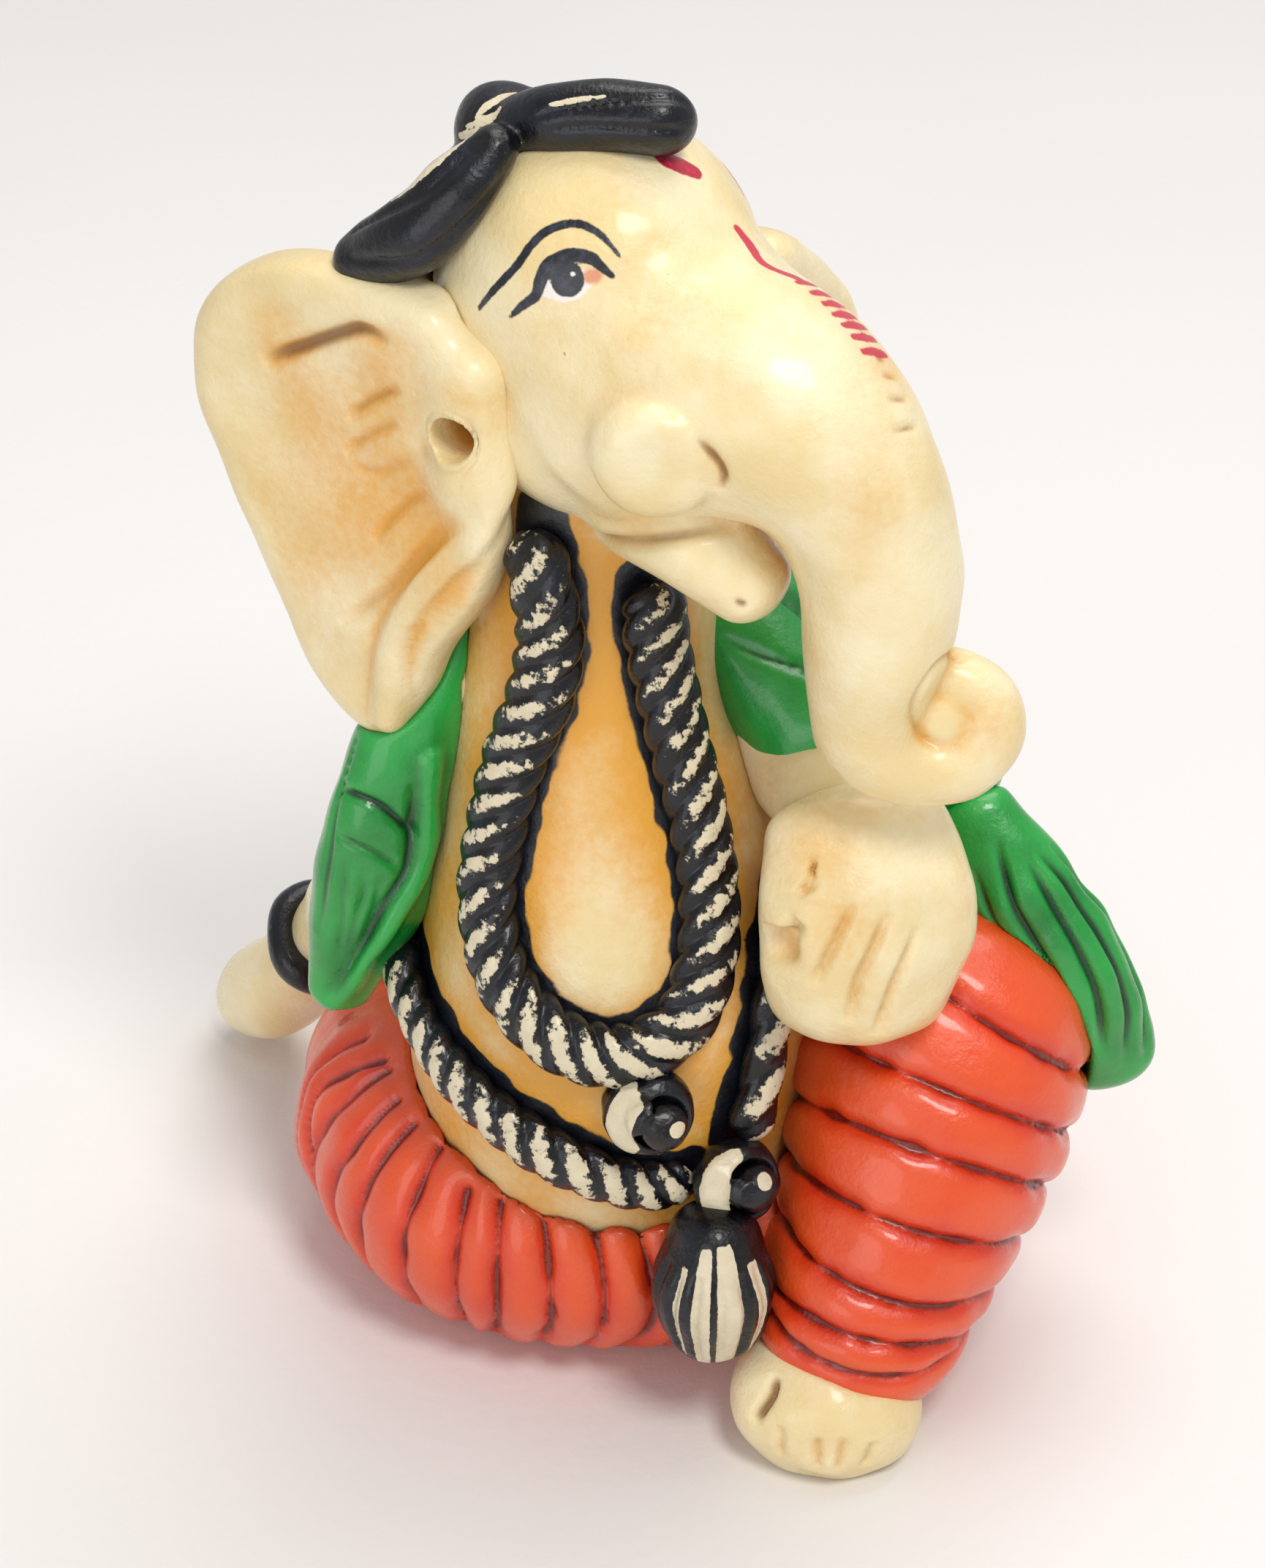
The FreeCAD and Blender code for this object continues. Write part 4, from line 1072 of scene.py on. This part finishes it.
def hair_marks(points, normals):
    ridge = np.zeros(len(points))
    for anchor, rows, half in BRUSHED:
        d = stroke(points, normals, off(anchor, *rows), (0.1, half, half, 0.08), reach=2.0)
        ridge = np.maximum(ridge, 1.25 * np.exp(-np.maximum(d, 0) / 0.25))
    return {"ridge": ridge}


worked("hair", HAIR_NODES, HAIR_LINES, HAIR, step=0.21, seed=81, shape=trim_cap, mark=hair_marks)


# ---------------------------------------------------------------- studs, tassel and bangle
CAMERA_RIGHT = unit((0.978, -0.208, 0.0))


def stud(name, face_way, crescent_deg, knob_shift, spot_deg):
    """A clay button with a smaller ball pressed in it, with a cream crescent and a cream spot."""
    middle = centre(name)
    out = unit(face_way)
    across = unit(CAMERA_RIGHT - out * CAMERA_RIGHT.dot(out))
    rise = np.cross(out, across)
    rise = rise if rise[2] > 0 else -rise
    block = Block([name], 0.12, room=3.5)
    knob = middle + out * 1.2 + across * knob_shift[0] + rise * knob_shift[1]
    block.field = join(block.ball(middle - out * 0.2, (2.75, 2.6, 1.75), across, rise), block.node(name), 0.3)
    moat = block.ball(knob, (1.85, 1.85, 1.2), across, rise)
    block.field = cut_out(block.field, moat, 0.3)
    block.field = join(block.field, block.ball(knob + out * 0.1, (1.45, 1.45, 1.15), across, rise), 0.15)
    block.field = soften(block.field, 2)
    points, quads, normals = lump_of(block)[:3]
    u, v, w = ((points - middle) @ k for k in (across, rise, out))
    ku, kv = (points - knob) @ across, (points - knob) @ rise
    a = math.radians(crescent_deg)
    beyond = np.hypot(ku, kv) - 1.95
    share = (u * math.cos(a) + v * math.sin(a)) / np.maximum(np.hypot(u, v), 0.3)
    on_face = step_up(2.75 - np.hypot(u, v), -0.05, 0.25) * (w > -0.4)
    crescent = step_up(beyond, -0.1, 0.15) * step_up(share, 0.15, 0.55) * on_face
    b = math.radians(spot_deg)
    dot = 1 - step_up(np.hypot(ku - 0.72 * math.cos(b), kv - 0.72 * math.sin(b)), 0.42, 0.62)
    dot *= w > 0.8
    points = points + normals * (0.05 * lumps(points, 1.8, 91))[:, None]
    make(name, points, quads, STUD, [name], {"ridge": np.maximum(crescent, dot) * 1.25})


stud("pendant", (-0.1, -1.0, 0.25), 178, (0.75, -0.15), 15)
stud("clasp", (0.2, -1.0, 0.35), 160, (0.7, 0.1), 80)

TASSEL_AXIS = np.array((-0.8, 0.4, 0.0))  # the tassel's middle line, from its box's centre
TASSEL_FRONT = unit((-0.208, -0.978, 0.0))
TASSEL_STRANDS = [  # angle round the tassel, half width in degrees, lowest and highest place
    (-40, 5, -3.4, 4.2),
    (-14, 9, -4.2, 5.6),
    (16, 13, -4.4, 5.8),
    (52, 8, -3.6, 4.4),
]
TASSEL_PROFILE = ((2.6, 3.6), (3.5, 1.2), (3.9, -1.5), (3.3, -4.0))  # radius and height


def bulb(block):
    """The full round body of the tassel."""
    line = smooth_line(off("tassel", (-0.6, 0.9, 3.5), (-0.8, 0.4, 0.9), (-0.7, 0.5, -1.3)), 5)
    sizes = spread((3.0, 3.9, 3.4), len(line))
    block.field = block.roll(line, sizes)


def tassel_marks(points, normals):
    """Cream strands painted down the tassel."""
    r = points - off("tassel", TASSEL_AXIS)[0]
    theta = np.degrees(np.arctan2(r @ CAMERA_RIGHT, r @ TASSEL_FRONT))
    ridge = np.zeros(len(points))
    for at, half, low, high in TASSEL_STRANDS:
        inside = (1 - step_up(np.abs(theta - at), half * 0.8, half * 1.3)) * step_up(r[:, 2], low, low + 0.7)
        ridge = np.maximum(ridge, 1.3 * inside * (1 - step_up(r[:, 2], high - 0.7, high)))
    return {"ridge": ridge}


def tassel_lines():
    """Grooves down the tassel, evenly round it."""
    rows = []
    for deg in range(-170, 181, 25):
        a = math.radians(deg + 1)
        side = CAMERA_RIGHT * math.sin(a) + TASSEL_FRONT * math.cos(a)
        line = tuple(tuple(TASSEL_AXIS + side * w + np.array((0, 0, z))) for w, z in TASSEL_PROFILE)
        rows.append(("tassel", line, 0.34, 0.30, 0.0))
    return rows


worked("tassel", ["tassel"], tassel_lines(), STUD, step=0.15, seed=92, mark=tassel_marks, uneven=0.06,
       shape=bulb)


def wrist_ring(block):
    """A rolled ring of black clay round the wrist."""
    middle = off("bangle", (1.5, -1.6, 2.0))[0]
    way = unit((-0.40, 0.62, -0.68))
    across = unit(np.cross(way, (0, 0, 1)))
    over = np.cross(way, across)
    turns = np.linspace(0, 2 * math.pi, 33)
    ring = [middle + 2.9 * (across * math.cos(a) + over * math.sin(a)) for a in turns]
    block.field = block.roll(ring, 1.15 + 0.12 * np.sin(np.linspace(0, 6 * math.pi, 33)))


worked("bangle", ["bangle"], [], STUD, step=0.17, seed=93, uneven=0.10, shape=wrist_ring,
       mark=lambda p, n: {"ridge": np.zeros(len(p))})


# ---------------------------------------------------------------- floor, light and camera
def paper():
    """Plain pale backdrop paper."""
    p = Paint("backdrop_paper")
    base = p.mix(p.rise(p.noise(0.004, 3.0), 0.3, 0.7), colour(240, 237, 234), colour(234, 230, 226))
    return p.finish(base, 0.85, p.noise(0.8, 4.0), 0.05, coat=0.0, specular=0.2)


floor_data = bpy.data.meshes.new("floor")
FLOOR = 3.0  # half the floor's side, in metres
corners = [(-FLOOR, -FLOOR, 0), (FLOOR, -FLOOR, 0), (FLOOR, FLOOR, 0), (-FLOOR, FLOOR, 0)]
floor_data.from_pydata(corners, [], [(0, 1, 2, 3)])
floor_data.materials.append(paper())
floor = bpy.data.objects.new("floor", floor_data)
bpy.context.scene.collection.objects.link(floor)

AIM = Vector((0.0, -2.0, 36.0)) * MM
AZIMUTH, ELEVATION, AWAY = math.radians(-12.0), math.radians(34.0), 240.0 * MM


def aimed(obj, place, target):
    obj.location = place
    obj.rotation_euler = (target - place).to_track_quat("-Z", "Y").to_euler()


flat = math.cos(ELEVATION)
back = Vector((flat * math.sin(AZIMUTH), -flat * math.cos(AZIMUTH), math.sin(ELEVATION)))
camera_data = bpy.data.cameras.new("camera")
camera_data.sensor_fit = "VERTICAL"
camera_data.sensor_height = 36.0
camera_data.lens = 88.66
camera_data.clip_start = 0.01
camera = bpy.data.objects.new("camera", camera_data)
bpy.context.scene.collection.objects.link(camera)
aimed(camera, AIM + back * AWAY, AIM)
bpy.context.scene.camera = camera


def lamp(name, place, size, power, tint=(1.0, 1.0, 1.0)):
    data = bpy.data.lights.new(name, "AREA")
    data.shape, data.size, data.energy, data.color = "DISK", size, power, tint
    obj = bpy.data.objects.new(name, data)
    bpy.context.scene.collection.objects.link(obj)
    aimed(obj, Vector(place), AIM)


lamp("window", (0.10, 0.12, 0.42), 0.30, 0.82, (1.0, 0.98, 0.95))
lamp("ceiling", (0.06, -0.24, 0.42), 0.14, 0.92, (1.0, 0.99, 0.97))
lamp("low_fill", (-0.30, -0.35, 0.15), 0.3, 0.45, (0.97, 0.98, 1.0))

world = bpy.data.worlds.new("room")
bpy.context.scene.world = world
world.use_nodes = True
world.node_tree.nodes["Background"].inputs["Color"].default_value = (0.95, 0.96, 1.0, 1.0)
world.node_tree.nodes["Background"].inputs["Strength"].default_value = 0.50
bpy.context.scene.view_settings.view_transform = "Standard"
